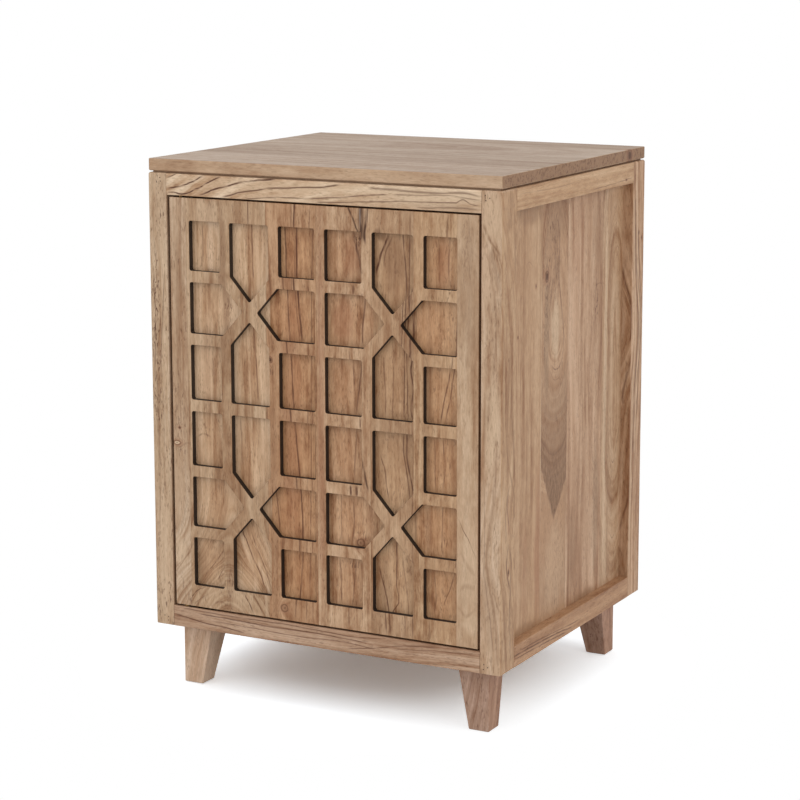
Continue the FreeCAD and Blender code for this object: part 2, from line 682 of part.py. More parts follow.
def upper_frame_leaf():
    low, high = frame_leaf_z(True)
    hole = pivot_rod(PIN_RADIUS + RUNNING_CLEARANCE, low, high)
    return single(frame_leaf_recess(True).cut(frame_leaf_screws(True) + [hole]))


def lower_frame_leaf():
    """The lower frame leaf carries the pin that the door stands and turns on."""
    low = frame_leaf_z(False)[0]
    leaf = frame_leaf_recess(False).cut(frame_leaf_screws(False))
    pin = pivot_rod(PIN_RADIUS, low, DOOR_LOW + LEAF_THICKNESS - PIN_END_GAP)
    return single(leaf.fuse(pin).removeSplitter())


def lower_door_leaf():
    low, high = door_leaf_z(False)
    hole = pivot_rod(PIN_RADIUS + RUNNING_CLEARANCE, low, high)
    return single(door_leaf_recess(False).cut(door_leaf_screws(False) + [hole]))


def thrust_washer():
    """The washer between the lower leaves, which carries the door's weight."""
    low, high = OPENING_LOW, DOOR_LOW - RUNNING_CLEARANCE
    return pivot_rod(LEAF_WIDTH / 2, low, high).cut(
        pivot_rod(PIN_RADIUS + RUNNING_CLEARANCE, low, high))


# ------------------------------------------------------------------------- the latch
def latch_rod(radius, start, end):
    return rod(radius, Vector(LATCH_X, start, LATCH_Z), Vector(LATCH_X, end, LATCH_Z))


def latch_housing():
    """A block under the front cleat, bored for the plunger, with a screw flange."""
    half = LATCH_WIDTH / 2
    back = LATCH_FRONT + LATCH_LENGTH
    body = eased_box((LATCH_X - half, LATCH_X + half), (LATCH_FRONT, back),
                     (LATCH_Z - LATCH_HEIGHT / 2, OPENING_HIGH), LATCH_EASE)
    flange = box((LATCH_X - LATCH_WIDTH, LATCH_X + LATCH_WIDTH),
                 (LATCH_FRONT + LATCH_FLANGE[0], LATCH_FRONT + LATCH_FLANGE[1]),
                 (OPENING_HIGH - LATCH_FLANGE_THICKNESS, OPENING_HIGH))
    nose = latch_rod(PLUNGER_RADIUS + RUNNING_CLEARANCE, LATCH_FRONT - OVERSHOOT,
                     LATCH_FRONT + LATCH_NOSE_LENGTH)
    bore = latch_rod(COLLAR_RADIUS + RUNNING_CLEARANCE, LATCH_FRONT + LATCH_NOSE_LENGTH,
                     back - LATCH_END_WALL)
    return single(body.fuse(flange).removeSplitter().cut([nose, bore] + latch_screws()))


def latch_screws():
    """Screws through the two ears of the latch's flange, up into the cleat."""
    y = LATCH_FRONT + sum(LATCH_FLANGE) / 2
    reach = (LATCH_WIDTH / 2 + LATCH_WIDTH) / 2
    heads = [Vector(LATCH_X + side * reach, y, OPENING_HIGH - LATCH_FLANGE_THICKNESS)
             for side in (-1, 1)]
    return [tapered_screw(head, Z_AXIS, SCREW_HEAD, SCREW_SHANK, SCREW_LENGTH) for head in heads]


def latch_plunger():
    """The sliding rod, with the collar that keeps it in the housing."""
    stem = latch_rod(PLUNGER_RADIUS, MAGNET_FRONT + MAGNET_LENGTH, COLLAR_BACK)
    collar = latch_rod(COLLAR_RADIUS, COLLAR_BACK - COLLAR_LENGTH, COLLAR_BACK)
    return single(stem.fuse(collar).removeSplitter())


def latch_magnet():
    disc = latch_rod(MAGNET_RADIUS, MAGNET_FRONT, MAGNET_FRONT + MAGNET_LENGTH)
    return disc.makeChamfer(MAGNET_EASE, edges_at(disc, y=MAGNET_FRONT))


def latch_spring():
    """The compression spring behind the plunger's collar, as a tube of the coil's size."""
    ends = (COLLAR_BACK, LATCH_FRONT + LATCH_LENGTH - LATCH_END_WALL)
    return latch_rod(SPRING_RADIUS, *ends).cut(latch_rod(SPRING_RADIUS - SPRING_WIRE, *ends))


def strike_plate():
    """The steel plate on the door's back that the magnet holds."""
    width, height = STRIKE_SIZE
    plate = box((LATCH_X - width / 2, LATCH_X + width / 2), (DOOR_BACK, STRIKE_BACK),
                (STRIKE_Z - height / 2, STRIKE_Z + height / 2))
    plate = plate.makeFillet(STRIKE_CORNER, [edge for edge in plate.Edges
                             if edge.BoundBox.YLength > STRIKE_THICKNESS / 2])
    return single(plate.cut(strike_screws()))


def strike_screws():
    reach = STRIKE_SIZE[0] / 2 - STRIKE_SCREW_FROM_END
    heads = [Vector(LATCH_X + side * reach, STRIKE_BACK, STRIKE_Z) for side in (-1, 1)]
    return [tapered_screw(head, -Y_AXIS, SCREW_HEAD, SCREW_SHANK, STRIKE_SCREW_LENGTH)
            for head in heads]


# ------------------------------------------------------------------------- the pieces
def numbered(name, boards):
    return {f"{name}_{number}": board for number, board in enumerate(boards, 1)}


def frame_pieces():
    pieces = {"right_front_post": front_post(left=False), "left_front_post": front_post(left=True),
              "right_back_post": right_back_post(), "left_back_post": mirror_x(right_back_post())}
    for high, word in ((True, "top"), (False, "bottom")):
        pieces[f"front_{word}_rail"] = front_rail(high)
        pieces[f"back_{word}_rail"] = back_rail(high)
        pieces[f"right_{word}_rail"] = side_rail(high)
        pieces[f"left_{word}_rail"] = mirror_x(side_rail(high))
    pieces["joint_brads"] = Part.makeCompound(brads())
    return pieces


def panel_pieces():
    front_cleat = cleat().cut(latch_screws())
    pieces = {"back_panel": back_panel(), "floor_panel": floor_panel(),
              "front_top_cleat": front_cleat, "back_top_cleat": mirror_y(cleat()),
              "shelf": shelf(), "shelf_pins": Part.makeCompound(shelf_pins()),
              "top_screws": Part.makeCompound(recessed(top_screws(), Z_AXIS, TOP_SCREW_HEAD))}
    pieces.update(numbered("top_board", top_boards()))
    pieces.update(numbered("right_panel_stave", sliced(side_panel(), RIGHT_PANEL_SEAMS, 1)))
    pieces.update(numbered("left_panel_stave", sliced(mirror_x(side_panel()), LEFT_PANEL_SEAMS, 1)))
    return pieces


def leg_pieces():
    names = ("right_front_leg", "left_front_leg", "right_back_leg", "left_back_leg")
    pieces = dict(zip(names, four_corners(leg())))
    pieces["right_leg_batten"] = right_batten()
    pieces["left_leg_batten"] = mirror_x(right_batten())
    pieces["leg_bolts"] = Part.makeCompound(four_corners(leg_bolt()))
    pieces["leg_nuts"] = Part.makeCompound(four_corners(single(nut_blank().cut(leg_bolt()))))
    pieces["floor_glides"] = Part.makeCompound(four_corners(glide()))
    return pieces


def door_pieces():
    pieces = numbered("door_stave", sliced(door_board(), DOOR_SEAMS, 0))
    pieces["upper_door_leaf"] = upper_door_leaf()
    pieces["lower_door_leaf"] = lower_door_leaf()
    pieces["strike_plate"] = strike_plate()
    pieces["door_screws"] = Part.makeCompound(
        recessed(door_leaf_screws(True), -Z_AXIS) + recessed(door_leaf_screws(False), Z_AXIS)
        + recessed(strike_screws(), -Y_AXIS))
    return pieces


def hardware_pieces():
    return {"upper_frame_leaf": upper_frame_leaf(), "lower_frame_leaf": lower_frame_leaf(),
            "thrust_washer": thrust_washer(), "latch_housing": latch_housing(),
            "latch_plunger": latch_plunger(), "latch_magnet": latch_magnet(),
            "latch_spring": latch_spring(),
            "frame_screws": Part.makeCompound(
                recessed(frame_leaf_screws(True) + latch_screws(), Z_AXIS)
                + recessed(frame_leaf_screws(False), -Z_AXIS))}


def main():
    os.makedirs("parts", exist_ok=True)
    pieces = {}
    for group in (frame_pieces, panel_pieces, leg_pieces, door_pieces, hardware_pieces):
        pieces.update(group())
    for name, shape in pieces.items():
        if len(shape.Solids) == 1:
            shape = shape.Solids[0]
        assert shape.isValid() and shape.Volume > 0, name
        shape.exportStep(f"parts/{name}.step")
        print(f"{name:24} solids {len(shape.Solids):2}  volume {shape.Volume / 1000:9.2f} cm3")
    print(len(pieces), "pieces")


main()
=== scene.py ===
import math

import bmesh
import bpy
from mathutils import Matrix, Vector

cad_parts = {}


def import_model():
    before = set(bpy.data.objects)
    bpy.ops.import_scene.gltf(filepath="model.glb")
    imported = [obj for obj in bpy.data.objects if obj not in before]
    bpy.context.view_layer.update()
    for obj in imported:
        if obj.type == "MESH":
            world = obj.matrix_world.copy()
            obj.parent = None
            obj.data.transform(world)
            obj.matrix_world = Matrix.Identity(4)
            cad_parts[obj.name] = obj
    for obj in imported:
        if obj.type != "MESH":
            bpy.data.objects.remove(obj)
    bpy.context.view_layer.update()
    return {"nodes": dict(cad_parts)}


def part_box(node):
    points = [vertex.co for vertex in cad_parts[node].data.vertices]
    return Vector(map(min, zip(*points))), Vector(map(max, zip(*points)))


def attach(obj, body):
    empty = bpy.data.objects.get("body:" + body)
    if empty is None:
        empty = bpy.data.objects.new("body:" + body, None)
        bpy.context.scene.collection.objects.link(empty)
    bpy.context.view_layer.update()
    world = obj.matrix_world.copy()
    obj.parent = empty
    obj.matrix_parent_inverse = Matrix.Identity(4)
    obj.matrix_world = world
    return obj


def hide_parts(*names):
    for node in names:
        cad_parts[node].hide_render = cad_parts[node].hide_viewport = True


# Looks for the storage side table with a door. The frame is in metres; the wood finishes
# are written in millimetres: u runs across a board's face, v through it and w along the grain.

MILLI = 1000.0

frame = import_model()
nodes = frame["nodes"]


def tint(red, green, blue):
    """A display colour from 0 to 255 as linear light, with full alpha."""
    def linear(value):
        share = value / 255
        return share / 12.92 if share <= 0.04045 else ((share + 0.055) / 1.055) ** 2.4
    return (linear(red), linear(green), linear(blue), 1.0)


# ---- shader arithmetic
class Wire:
    """A node's output. Arithmetic on it adds Math nodes to the same finish."""

    def __init__(self, finish, socket):
        self.finish = finish
        self.socket = socket

    def __repr__(self):
        return f"{self.socket.node.name}:{self.socket.identifier}"

    def math(self, operation, *values):
        return self.finish.node("ShaderNodeMath", {"operation": operation}, values)

    def __add__(self, other):
        return self.math("ADD", self, other)

    def __radd__(self, other):
        return self.math("ADD", other, self)

    def __sub__(self, other):
        return self.math("SUBTRACT", self, other)

    def __rsub__(self, other):
        return self.math("SUBTRACT", other, self)

    def __mul__(self, other):
        return self.math("MULTIPLY", self, other)

    def __rmul__(self, other):
        return self.math("MULTIPLY", other, self)

    def __truediv__(self, other):
        return self.math("DIVIDE", self, other)

    def __abs__(self):
        return self.math("ABSOLUTE", self)

    def most(self, other):
        return self.math("MAXIMUM", self, other)

    def power(self, exponent):
        return self.math("POWER", self, exponent)

    def smooth(self, start, end):
        """0 at start and 1 at end, with soft ends. Start may be above end."""
        low, high, first, last = (start, end, 0.0, 1.0) if start < end else (end, start, 1.0, 0.0)
        return self.finish.node("ShaderNodeMapRange", {"interpolation_type": "SMOOTHSTEP"},
                                {"Value": self, "From Min": low, "From Max": high,
                                 "To Min": first, "To Max": last})


# Places of a Mix node's colour sockets among all its sockets.
MIX_SHARE, MIX_FIRST, MIX_SECOND, MIX_RESULT = 0, 6, 7, 2
# How far a seed moves the noise along X, Y and Z.
SEED_SHARES = (1.0, 0.7, 1.3)


class Finish:
    """The nodes of a material, or of the world's light, as they are built."""

    def __init__(self, owner):
        self.owner = owner
        owner.use_nodes = True
        self.tree = owner.node_tree
        self.tree.nodes.clear()
        self.made = {}

    def node(self, kind, settings=None, inputs=(), output=0):
        """Adds a node: its settings first, then the values or links of its sockets.
        The same node asked for again is the one that is there."""
        request = (kind, repr(settings), repr(inputs))
        if request in self.made:
            return Wire(self, self.made[request].outputs[output])
        made = self.made[request] = self.tree.nodes.new(kind)
        for name, value in (settings or {}).items():
            if name == "stops":
                self.set_stops(made.color_ramp, value)
            elif name == "interpolation":
                made.color_ramp.interpolation = value
            else:
                setattr(made, name, value)
        pairs = inputs.items() if isinstance(inputs, dict) else enumerate(inputs)
        for key, value in pairs:
            if isinstance(value, Wire):
                self.tree.links.new(value.socket, made.inputs[key])
            else:
                made.inputs[key].default_value = value
        return Wire(self, made.outputs[output] if made.outputs else None)

    @staticmethod
    def set_stops(ramp, stops):
        while len(ramp.elements) < len(stops):
            ramp.elements.new(1.0)
        for element, (place, colour) in zip(ramp.elements, stops):
            element.position = place
            element.color = colour

    def mix(self, share, first, second, blend="MIX"):
        """Two colours mixed; share 0 gives the first."""
        return self.node("ShaderNodeMix", {"data_type": "RGBA", "blend_type": blend},
                         {MIX_SHARE: share, MIX_FIRST: first, MIX_SECOND: second}, MIX_RESULT)

    def place(self):
        return self.node("ShaderNodeTexCoord", output="Object")

    def noise(self, scale, seed, detail=2.0, rough=0.5, distort=0.0):
        """Noise whose grains are 1 / scale metres long along X, Y and Z, from 0 to 1."""
        spread = self.node("ShaderNodeMapping", None,
                           {"Vector": self.place(), "Scale": scale,
                            "Location": tuple(seed * share for share in SEED_SHARES)})
        return self.node("ShaderNodeTexNoise", None,
                         {"Vector": spread, "Scale": 1.0, "Detail": detail, "Roughness": rough,
                          "Distortion": distort})

    def curve(self, value, points):
        """A smooth function of value through a few (value, result) points."""
        starts, results = zip(*points)
        low, high = min(results), max(results)
        span, rise = starts[-1] - starts[0], (high - low) or 1.0
        stops = []
        for start, result in points:
            share = (result - low) / rise
            stops.append(((start - starts[0]) / span, (share, share, share, 1.0)))
        bend = "CARDINAL" if len(points) > 2 else "LINEAR"
        shade = self.node("ShaderNodeValToRGB", {"stops": stops, "interpolation": bend},
                          {"Fac": (value - starts[0]) / span})
        return shade * rise + low

    def surface(self, colour, roughness, height, relief, depth, **constants):
        """Ends the material in a Principled shader; constants are set on its own sockets."""
        bump = self.node("ShaderNodeBump", None,
                         {"Height": height, "Strength": relief, "Distance": depth})
        self.finish_with(self.node("ShaderNodeBsdfPrincipled", None,
                                   {"Base Color": colour, "Roughness": roughness,
                                    "Normal": bump, **constants}))
        return self.owner

    def finish_with(self, shader):
        self.node("ShaderNodeOutputMaterial", None, {"Surface": shader})


# ---- the wood
AXES = {"X": 0, "Y": 1, "Z": 2}
LINE = tint(84, 42, 16)
BLACK_LINE = tint(72, 38, 12)
KNOT = tint(84, 46, 18)
# The near-black colour given to the door's pocket walls.
POCKET_WALL_BLACK = tint(26, 18, 15)
HEARTWOOD = tint(127, 92, 63)
PALE = tint(212, 183, 152)
BROWN = tint(146, 110, 80)
RUDDY = tint(166, 118, 86)
GREY = tint(152, 124, 97)
# Colour and share of a knot's heart, by its kind.
KNOT_HEARTS = {"dark": (KNOT, 0.95), "brown": (BROWN, 0.4), "pale": (PALE, 0.95)}
FILLER = tint(158, 140, 128)
# Painted shade for narrow faces in the door's gaps and under the table top, which lie in shadow.
GAP_SHADE = tint(104, 58, 30)
# Painted sheen: the table top's face greyed as the light's reflection greys it.
TOP_SHEEN_GREY = (0.82, 0.89, 1.03, 1.0)
SEED_START, SEED_STEP = 3.1, 7.37        # each board's place in the noise
LINE_WIDTH = 0.20                        # share of a ring that its dark line takes
STROKE_FADE = 10.0                       # a streak's ends fade over this length at most
SEAM_EDGE = (0.6, 0.1)                   # distances from an edge over which its dark line grows
# The door's milled pockets: the depths over which their walls and floors begin, the depths
# over which both end, and how far from the door's middle they stop sideways and upwards.
WALL_FROM = (-197.3, -196.4)
FLOOR_FROM = (-196.0, -191.0)
POCKET_END = (-187.0, -188.5)
DOOR_MIDDLE = 342.0
POCKETS_ASIDE = (195.5, 194.5)
POCKETS_UP = (238.0, 237.0)


def toned(colour, share, warm):
    """A paler or darker kin of a colour: share is its light, and warm below 1 reddens it."""
    red, green, blue, alpha = colour
    return (red * share, green * share * warm, blue * share * warm * warm, alpha)


WOOD_DEFAULTS = {
    "grain": "Z",             # the axis that the grain runs along
    "across": "X",            # the axis across the board's main face
    "pith": (-420.0, 90.0),   # the tree's centre, in u and v
    "bend": None,             # (w, mm) points: how far the rings bend away from that centre
    "depth": None,            # (w, v) points: how far below the face the centre runs
    "ring": 7.0,              # width of a growth ring
    "line": 0.5,              # darkness of the ring's dark line
    "band": 9.0,              # width of the soft colour bands
    "bands": 1.0,             # how strongly they differ
    "streaks": 0.8,           # and the fine streaks on them
    "base": (180, 149, 119),  # the wood's own colour, from 0 to 255
    "ruddy": 0.3,             # share of reddish and of greyish clouds
    "grey": 0.12,
    "wander": 9.0,            # how far the grain strays, slowly
    "ripple": 1.6,            # and quickly
    "fleck": 0.6,             # darkness of the pores
    "mottle": 0.35,           # strength of the soft blotches
    "speck": 0.35,            # darkness of the short flecks
    "side": None,             # colour share of the board's edge faces: painted light and shade on that side
    "gap": None,              # painted shade on a narrow face in a gap or under the top: axis, middle, start, end, share
    "calm": None,             # (w, w): the figure fades out towards the second
    "strokes": (),            # streaks on the face: w and u of each point in turn, half width,
                              # share and perhaps colour
    "side_strokes": (),       # the same on the board's edge, with w and v
    "waves": (),              # and across the grain, with u and w
    "knots": (),              # u, w, half width, half height, kind and perhaps v
    "patches": (),            # u, w, half width, half height, colour, share
    "dashes": (),             # u, w, half width, half height, share
    "tongue": None,           # heartwood that ends in a point: u, w, two slopes, where it fades
    "floor": None,            # colour share of the milled pocket floors
    "bleach": None,           # colour share of the main face: a painted grey sheen of the light on it
    "end_shade": 0.3,         # darkness of the end grain
    "seam": 0.35,             # and of the thin lines along the board's long edges
}


class Wood(Finish):
    """One board's finish, from its place in the tree and what is drawn on it."""

    def __init__(self, name, number, **choices):
        super().__init__(bpy.data.materials.new(f"{name}_wood"))
        self.choices = {**WOOD_DEFAULTS, **choices}
        self.seed = SEED_START + SEED_STEP * number
        grain, across = AXES[self.choices["grain"]], AXES[self.choices["across"]]
        self.order = (across, 3 - grain - across, grain)
        self.u, self.v, self.w = [self.axis_of(self.place(), axis) * MILLI
                                  for axis in self.order]
        normal = self.node("ShaderNodeTexCoord", output="Normal")
        self.facing = [abs(self.axis_of(normal, axis)) for axis in self.order]
        low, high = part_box(name)
        self.edges = (low[across] * MILLI, high[across] * MILLI)

    def axis_of(self, vector, axis):
        return self.node("ShaderNodeSeparateXYZ", None, {"Vector": vector}, axis)

    def stretched(self, across, along, **settings):
        """Noise with grains of these sizes in millimetres, drawn out along the grain."""
        scale = [MILLI / across] * 3
        scale[self.order[2]] = MILLI / along
        return self.noise(tuple(scale), self.seed, **settings)

    def flow(self, reach, across, along, detail=2.0, rough=0.5):
        """Noise drawn out along the rings: its grains are this wide and this long."""
        spot = self.node("ShaderNodeCombineXYZ", None, (reach / across, self.w / along, self.seed))
        return self.node("ShaderNodeTexNoise", None,
                         {"Vector": spot, "Scale": 1.0, "Detail": detail, "Roughness": rough})

    def knot_reach(self, knot):
        """How far a point is from a knot's middle, in the knot's own half sizes."""
        u, w, wide, high = knot[:4]
        across = (self.u - u) / wide
        along = (self.w - w) / high
        square = across * across + along * along
        if len(knot) > 5:
            through = (self.v - knot[5]) / wide
            square = square + through * through
        wobble = self.stretched(wide * 1.1, high * 1.1) - 0.5
        return square.power(0.5) + wobble * 0.7

    def rings(self):
        """How far along the growth rings a point is, in millimetres."""
        pick = self.choices
        u = self.u - pick["pith"][0]
        v = self.v - pick["pith"][1]
        if pick["depth"]:
            v = v * 0.2 + self.curve(self.w, pick["depth"])
        reach = (u * u + v * v).power(0.5)
        if pick["bend"]:
            reach = reach - self.curve(self.w, pick["bend"])
        slow = self.stretched(60.0, 260.0, detail=1.0) - 0.5
        quick = self.stretched(12.0, 70.0) - 0.5
        reach = reach + slow * pick["wander"] * 2 + quick * pick["ripple"] * 2
        for knot in pick["knots"]:
            reach = reach + self.knot_reach(knot).smooth(3.4, 0.7) * knot[2] * 1.6
        return reach

    def ring_lines(self, reach):
        """Dark lines where a ring ends, each ring with its own strength."""
        ring = self.choices["ring"]
        uneven = self.node("ShaderNodeTexNoise", {"noise_dimensions": "1D"},
                           {"W": reach / (ring * 5) + self.seed, "Scale": 1.0, "Detail": 2.0,
                            "Roughness": 0.5})
        count = reach / ring + uneven * 3
        whole = count.math("FLOOR", count)
        share = count - whole
        rise = share.smooth(1 - LINE_WIDTH * 2.2, 1 - LINE_WIDTH * 0.35)
        drop = share.smooth(1.0, 1 - LINE_WIDTH * 0.3)
        strength = self.node("ShaderNodeTexWhiteNoise", {"noise_dimensions": "1D"},
                             {"W": whole + self.seed}).power(1.4)
        patchy = self.flow(reach, 18.0, 120.0).smooth(0.42, 0.62)
        return rise * drop * (strength * 0.9 + 0.1) * (patchy * 0.9 + 0.1)

    def stroke(self, along, cross, spots, width, strength):
        """How strongly a drawn streak shows here. Spots hold along and cross of each point
        in turn, and along rises."""
        points = list(zip(spots[::2], spots[1::2]))
        middle = self.curve(along, points)
        wobble = (self.stretched(7.0, 26.0) - 0.5) * 2.0
        edge = abs(cross - middle + wobble).smooth(width * 0.9, width * 0.1)
        broken = self.stretched(2.6, 24.0, detail=1.0).smooth(0.28, 0.52) * 0.65 + 0.35
        start, end = points[0][0], points[-1][0]
        fade = min(STROKE_FADE, (end - start) / 3)
        ends = along.smooth(start, start + fade) * along.smooth(end, end - fade)
        return edge * broken * ends * strength

    def patch(self, u, w, wide, high, share):
        """How strongly a soft patch of another colour shows here."""
        across = (self.u - u) / wide
        along = (self.w - w) / high
        ragged = (self.stretched(10.0, 50.0, detail=3.0) - 0.5) * 1.3
        return ((across * across + along * along).power(0.5) + ragged).smooth(1.2, 0.5) * share

    def colour(self):
        pick = self.choices
        base = tint(*pick["base"])
        reach = self.rings()
        bands = self.flow(reach, pick["band"], 300.0, detail=3.0, rough=0.6) - 0.5
        streaks = self.flow(reach, 3.0, 50.0, detail=4.0, rough=0.62) - 0.5
        lively = self.stretched(26.0, 110.0, detail=1.0).smooth(0.36, 0.62) * 0.9 + 0.35
        blotches = self.stretched(8.0, 20.0, detail=3.0, rough=0.65) - 0.5
        tone = bands * pick["bands"] + streaks * lively * pick["streaks"]
        tone = tone + blotches * pick["mottle"]
        lines = self.ring_lines(reach)
        if pick["calm"]:
            calm = self.w.smooth(*pick["calm"])
            tone = tone * (1.0 - calm * 0.8)
            lines = lines * (1.0 - calm)
        colour = self.node("ShaderNodeValToRGB",
                           {"stops": ((0.10, toned(base, 0.32, 0.68)),
                                      (0.30, toned(base, 0.64, 0.80)), (0.50, base),
                                      (0.72, toned(base, 1.30, 1.10)))},
                           {"Fac": tone + 0.5})
        clouds = self.flow(reach, pick["band"] * 2.6, 500.0, detail=1.0)
        mottle = self.stretched(48.0, 150.0, detail=3.0)
        colour = self.mix(clouds.smooth(0.45, 0.65) * pick["ruddy"], colour,
                          toned(base, 0.93, 0.90))
        colour = self.mix(mottle.smooth(0.46, 0.66) * pick["grey"], colour,
                          toned(base, 0.76, 0.95))
        for u, w, across, along, shade, share in pick["patches"]:
            colour = self.mix(self.patch(u, w, across, along, share), colour, shade)
        if pick["tongue"]:
            colour = self.paint_tongue(colour, pick["tongue"], tone)
        colour = self.mix(lines * pick["line"], colour, LINE)
        specks = self.stretched(1.5, 6.5).smooth(0.56, 0.66)
        specks = specks * self.stretched(13.0, 45.0).smooth(0.40, 0.62)
        colour = self.mix(specks * pick["speck"], colour, LINE)
        on_face = self.facing[1].smooth(0.35, 0.65)
        on_edge = self.facing[0].smooth(0.35, 0.65)
        for name, along, cross, share in (("strokes", self.w, self.u, on_face),
                                          ("waves", self.u, self.w, on_face),
                                          ("side_strokes", self.w, self.v, on_edge)):
            for spots, width, strength, *shade in pick[name]:
                drawn = self.stroke(along, cross, spots, width, strength)
                colour = self.mix(drawn * share, colour, shade[0] if shade else LINE)
        for u, w, across, along, share in pick["dashes"]:
            dash = self.stretched(1.7, 8.0, distort=0.7).smooth(0.54, 0.64)
            colour = self.mix(dash * self.patch(u, w, across, along, share), colour, LINE)
        return colour, lines

    def paint_tongue(self, colour, tongue, tone):
        """Heartwood above a V-shaped edge, darkest at its point and paler upwards."""
        u, w, left, right, fade = tongue
        ragged = (self.stretched(5.0, 14.0) - 0.5) * 14
        off = self.u - u
        edge = off.most(0.0) * right - off.math("MINIMUM", off, 0.0) * left
        above = (self.w - w - edge + ragged).smooth(-3.0, 4.0)
        paler = self.w.smooth(w + 30.0, fade[0]) * 0.5
        share = above * self.w.smooth(fade[1], fade[0]) * (0.98 - paler)
        speckle = self.stretched(1.8, 7.0).smooth(0.35, 0.65)
        return self.mix(share * (speckle * 0.3 + 0.7 + tone * 0.4), colour, HEARTWOOD)

    def paint_knot(self, colour, knot):
        reach = self.knot_reach(knot)
        rim = reach.smooth(0.62, 0.92) * reach.smooth(1.35, 1.0)
        colour = self.mix(reach.smooth(2.4, 0.9) * 0.5, colour, RUDDY)
        colour = self.mix(rim * 0.6, colour, KNOT)
        shade, share = KNOT_HEARTS[knot[4]]
        colour = self.mix(reach.smooth(0.85, 0.5) * share, colour, shade)
        return self.mix(reach.smooth(0.40, 0.10) * 0.5, colour, KNOT)

    def build(self):
        pick = self.choices
        colour, lines = self.colour()
        fibre = self.stretched(1.1, 8.0, detail=3.0, rough=0.65)
        pores = self.stretched(1.2, 8.0, detail=1.0).smooth(0.58, 0.70)
        clumps = self.stretched(16.0, 60.0).smooth(0.35, 0.65) * 0.7 + 0.3
        shade = (fibre - 0.5) * 0.52 + 1.0 - pores * clumps * pick["fleck"] * 0.5
        bright = self.node("ShaderNodeCombineXYZ", None,
                           (shade, shade.power(1.15), shade.power(1.3)))
        colour = self.mix(1.0, colour, bright, "MULTIPLY")
        # Painted sheen on the main face, greyed as the light's reflection would grey it.
        if pick["bleach"]:
            sheened = self.mix(1.0, colour, pick["bleach"], "MULTIPLY")
            colour = self.mix(self.facing[1].smooth(0.7, 0.95), colour, sheened)
        # Painted light and shade: the edge faces made lighter or darker as the light falls differently on
        # that side.
        if pick["side"]:
            side_lit = self.mix(1.0, colour, pick["side"], "MULTIPLY")
            colour = self.mix(self.facing[0].smooth(0.6, 0.9), colour, side_lit)
        ends = self.facing[2].smooth(0.7, 0.95)
        colour = self.mix(ends * pick["end_shade"], colour, BROWN)
        coarse = self.stretched(4.5, 4.5, detail=4.0, rough=0.7).smooth(0.46, 0.66)
        colour = self.mix(ends * coarse * 0.62, colour, LINE)
        for knot in pick["knots"]:
            colour = self.paint_knot(colour, knot)
        if pick["floor"]:
            colour = self.paint_pockets(colour, pick["floor"])
        # Painted shade on a narrow face that lies in a gap, where shadow falls.
        if pick["gap"]:
            axis, middle, start, end, share = pick["gap"]
            narrow = abs((self.u, self.v)[axis] - middle).smooth(start, end)
            colour = self.mix(narrow * share, colour, GAP_SHADE)
        colour = self.mix(self.seams() * (ends * 0.4 + pick["seam"]), colour, LINE)
        rough = fibre * 0.14 + pores * 0.12 + 0.48
        height = fibre * 0.5 - pores * 0.6 - lines * 0.4
        return self.surface(colour, rough, height, relief=0.35, depth=0.00018, IOR=1.45)

    def paint_pockets(self, colour, share):
        """The door's milled pockets: oiled floors and near-black walls."""
        cut = self.v.smooth(*POCKET_END)
        deep = self.v.smooth(*FLOOR_FROM) * cut
        colour = self.mix(deep, colour, self.mix(1.0, colour, share, "MULTIPLY"))
        wall = self.facing[1].smooth(0.55, 0.3)
        aside = abs(self.u).smooth(*POCKETS_ASIDE)
        inside = aside * abs(self.w - DOOR_MIDDLE).smooth(*POCKETS_UP)
        blackened_walls = wall * inside * self.v.smooth(*WALL_FROM) * cut
        # Painted shade on the door's outer edges, which lie in the shadow of the gap around the door.
        colour = self.mix(wall * (1.0 - inside) * 0.45, colour, GAP_SHADE)
        return self.mix(blackened_walls * 0.98, colour, POCKET_WALL_BLACK)

    def seams(self):
        """Thin dark lines along a board's long edges, where it meets its neighbour."""
        low, high = self.edges
        edge = (self.u - low).smooth(*SEAM_EDGE).most((high - self.u).smooth(*SEAM_EDGE))
        return edge * self.facing[0].smooth(0.6, 0.3)


# How the rings of the door's two left staves arch, low on the door.
ARCH = ((102, 66), (150, 33), (185, 11), (230, 0), (583, 0))

# What the boards of the table top share.
TOP_BOARD = dict(grain="X", across="Y", band=15, ring=14, line=0.12, seam=0.12, grey=0.2,
                 bands=0.75, streaks=0.18, ruddy=0.15, end_shade=0.92, bleach=TOP_SHEEN_GREY,
                 fleck=0.35, speck=0.12, mottle=0.3,
                 # Painted shade on the slab's underside, in the shadow gap under the top.
                 gap=(1, 625, 13.1, 13.9, 0.3))

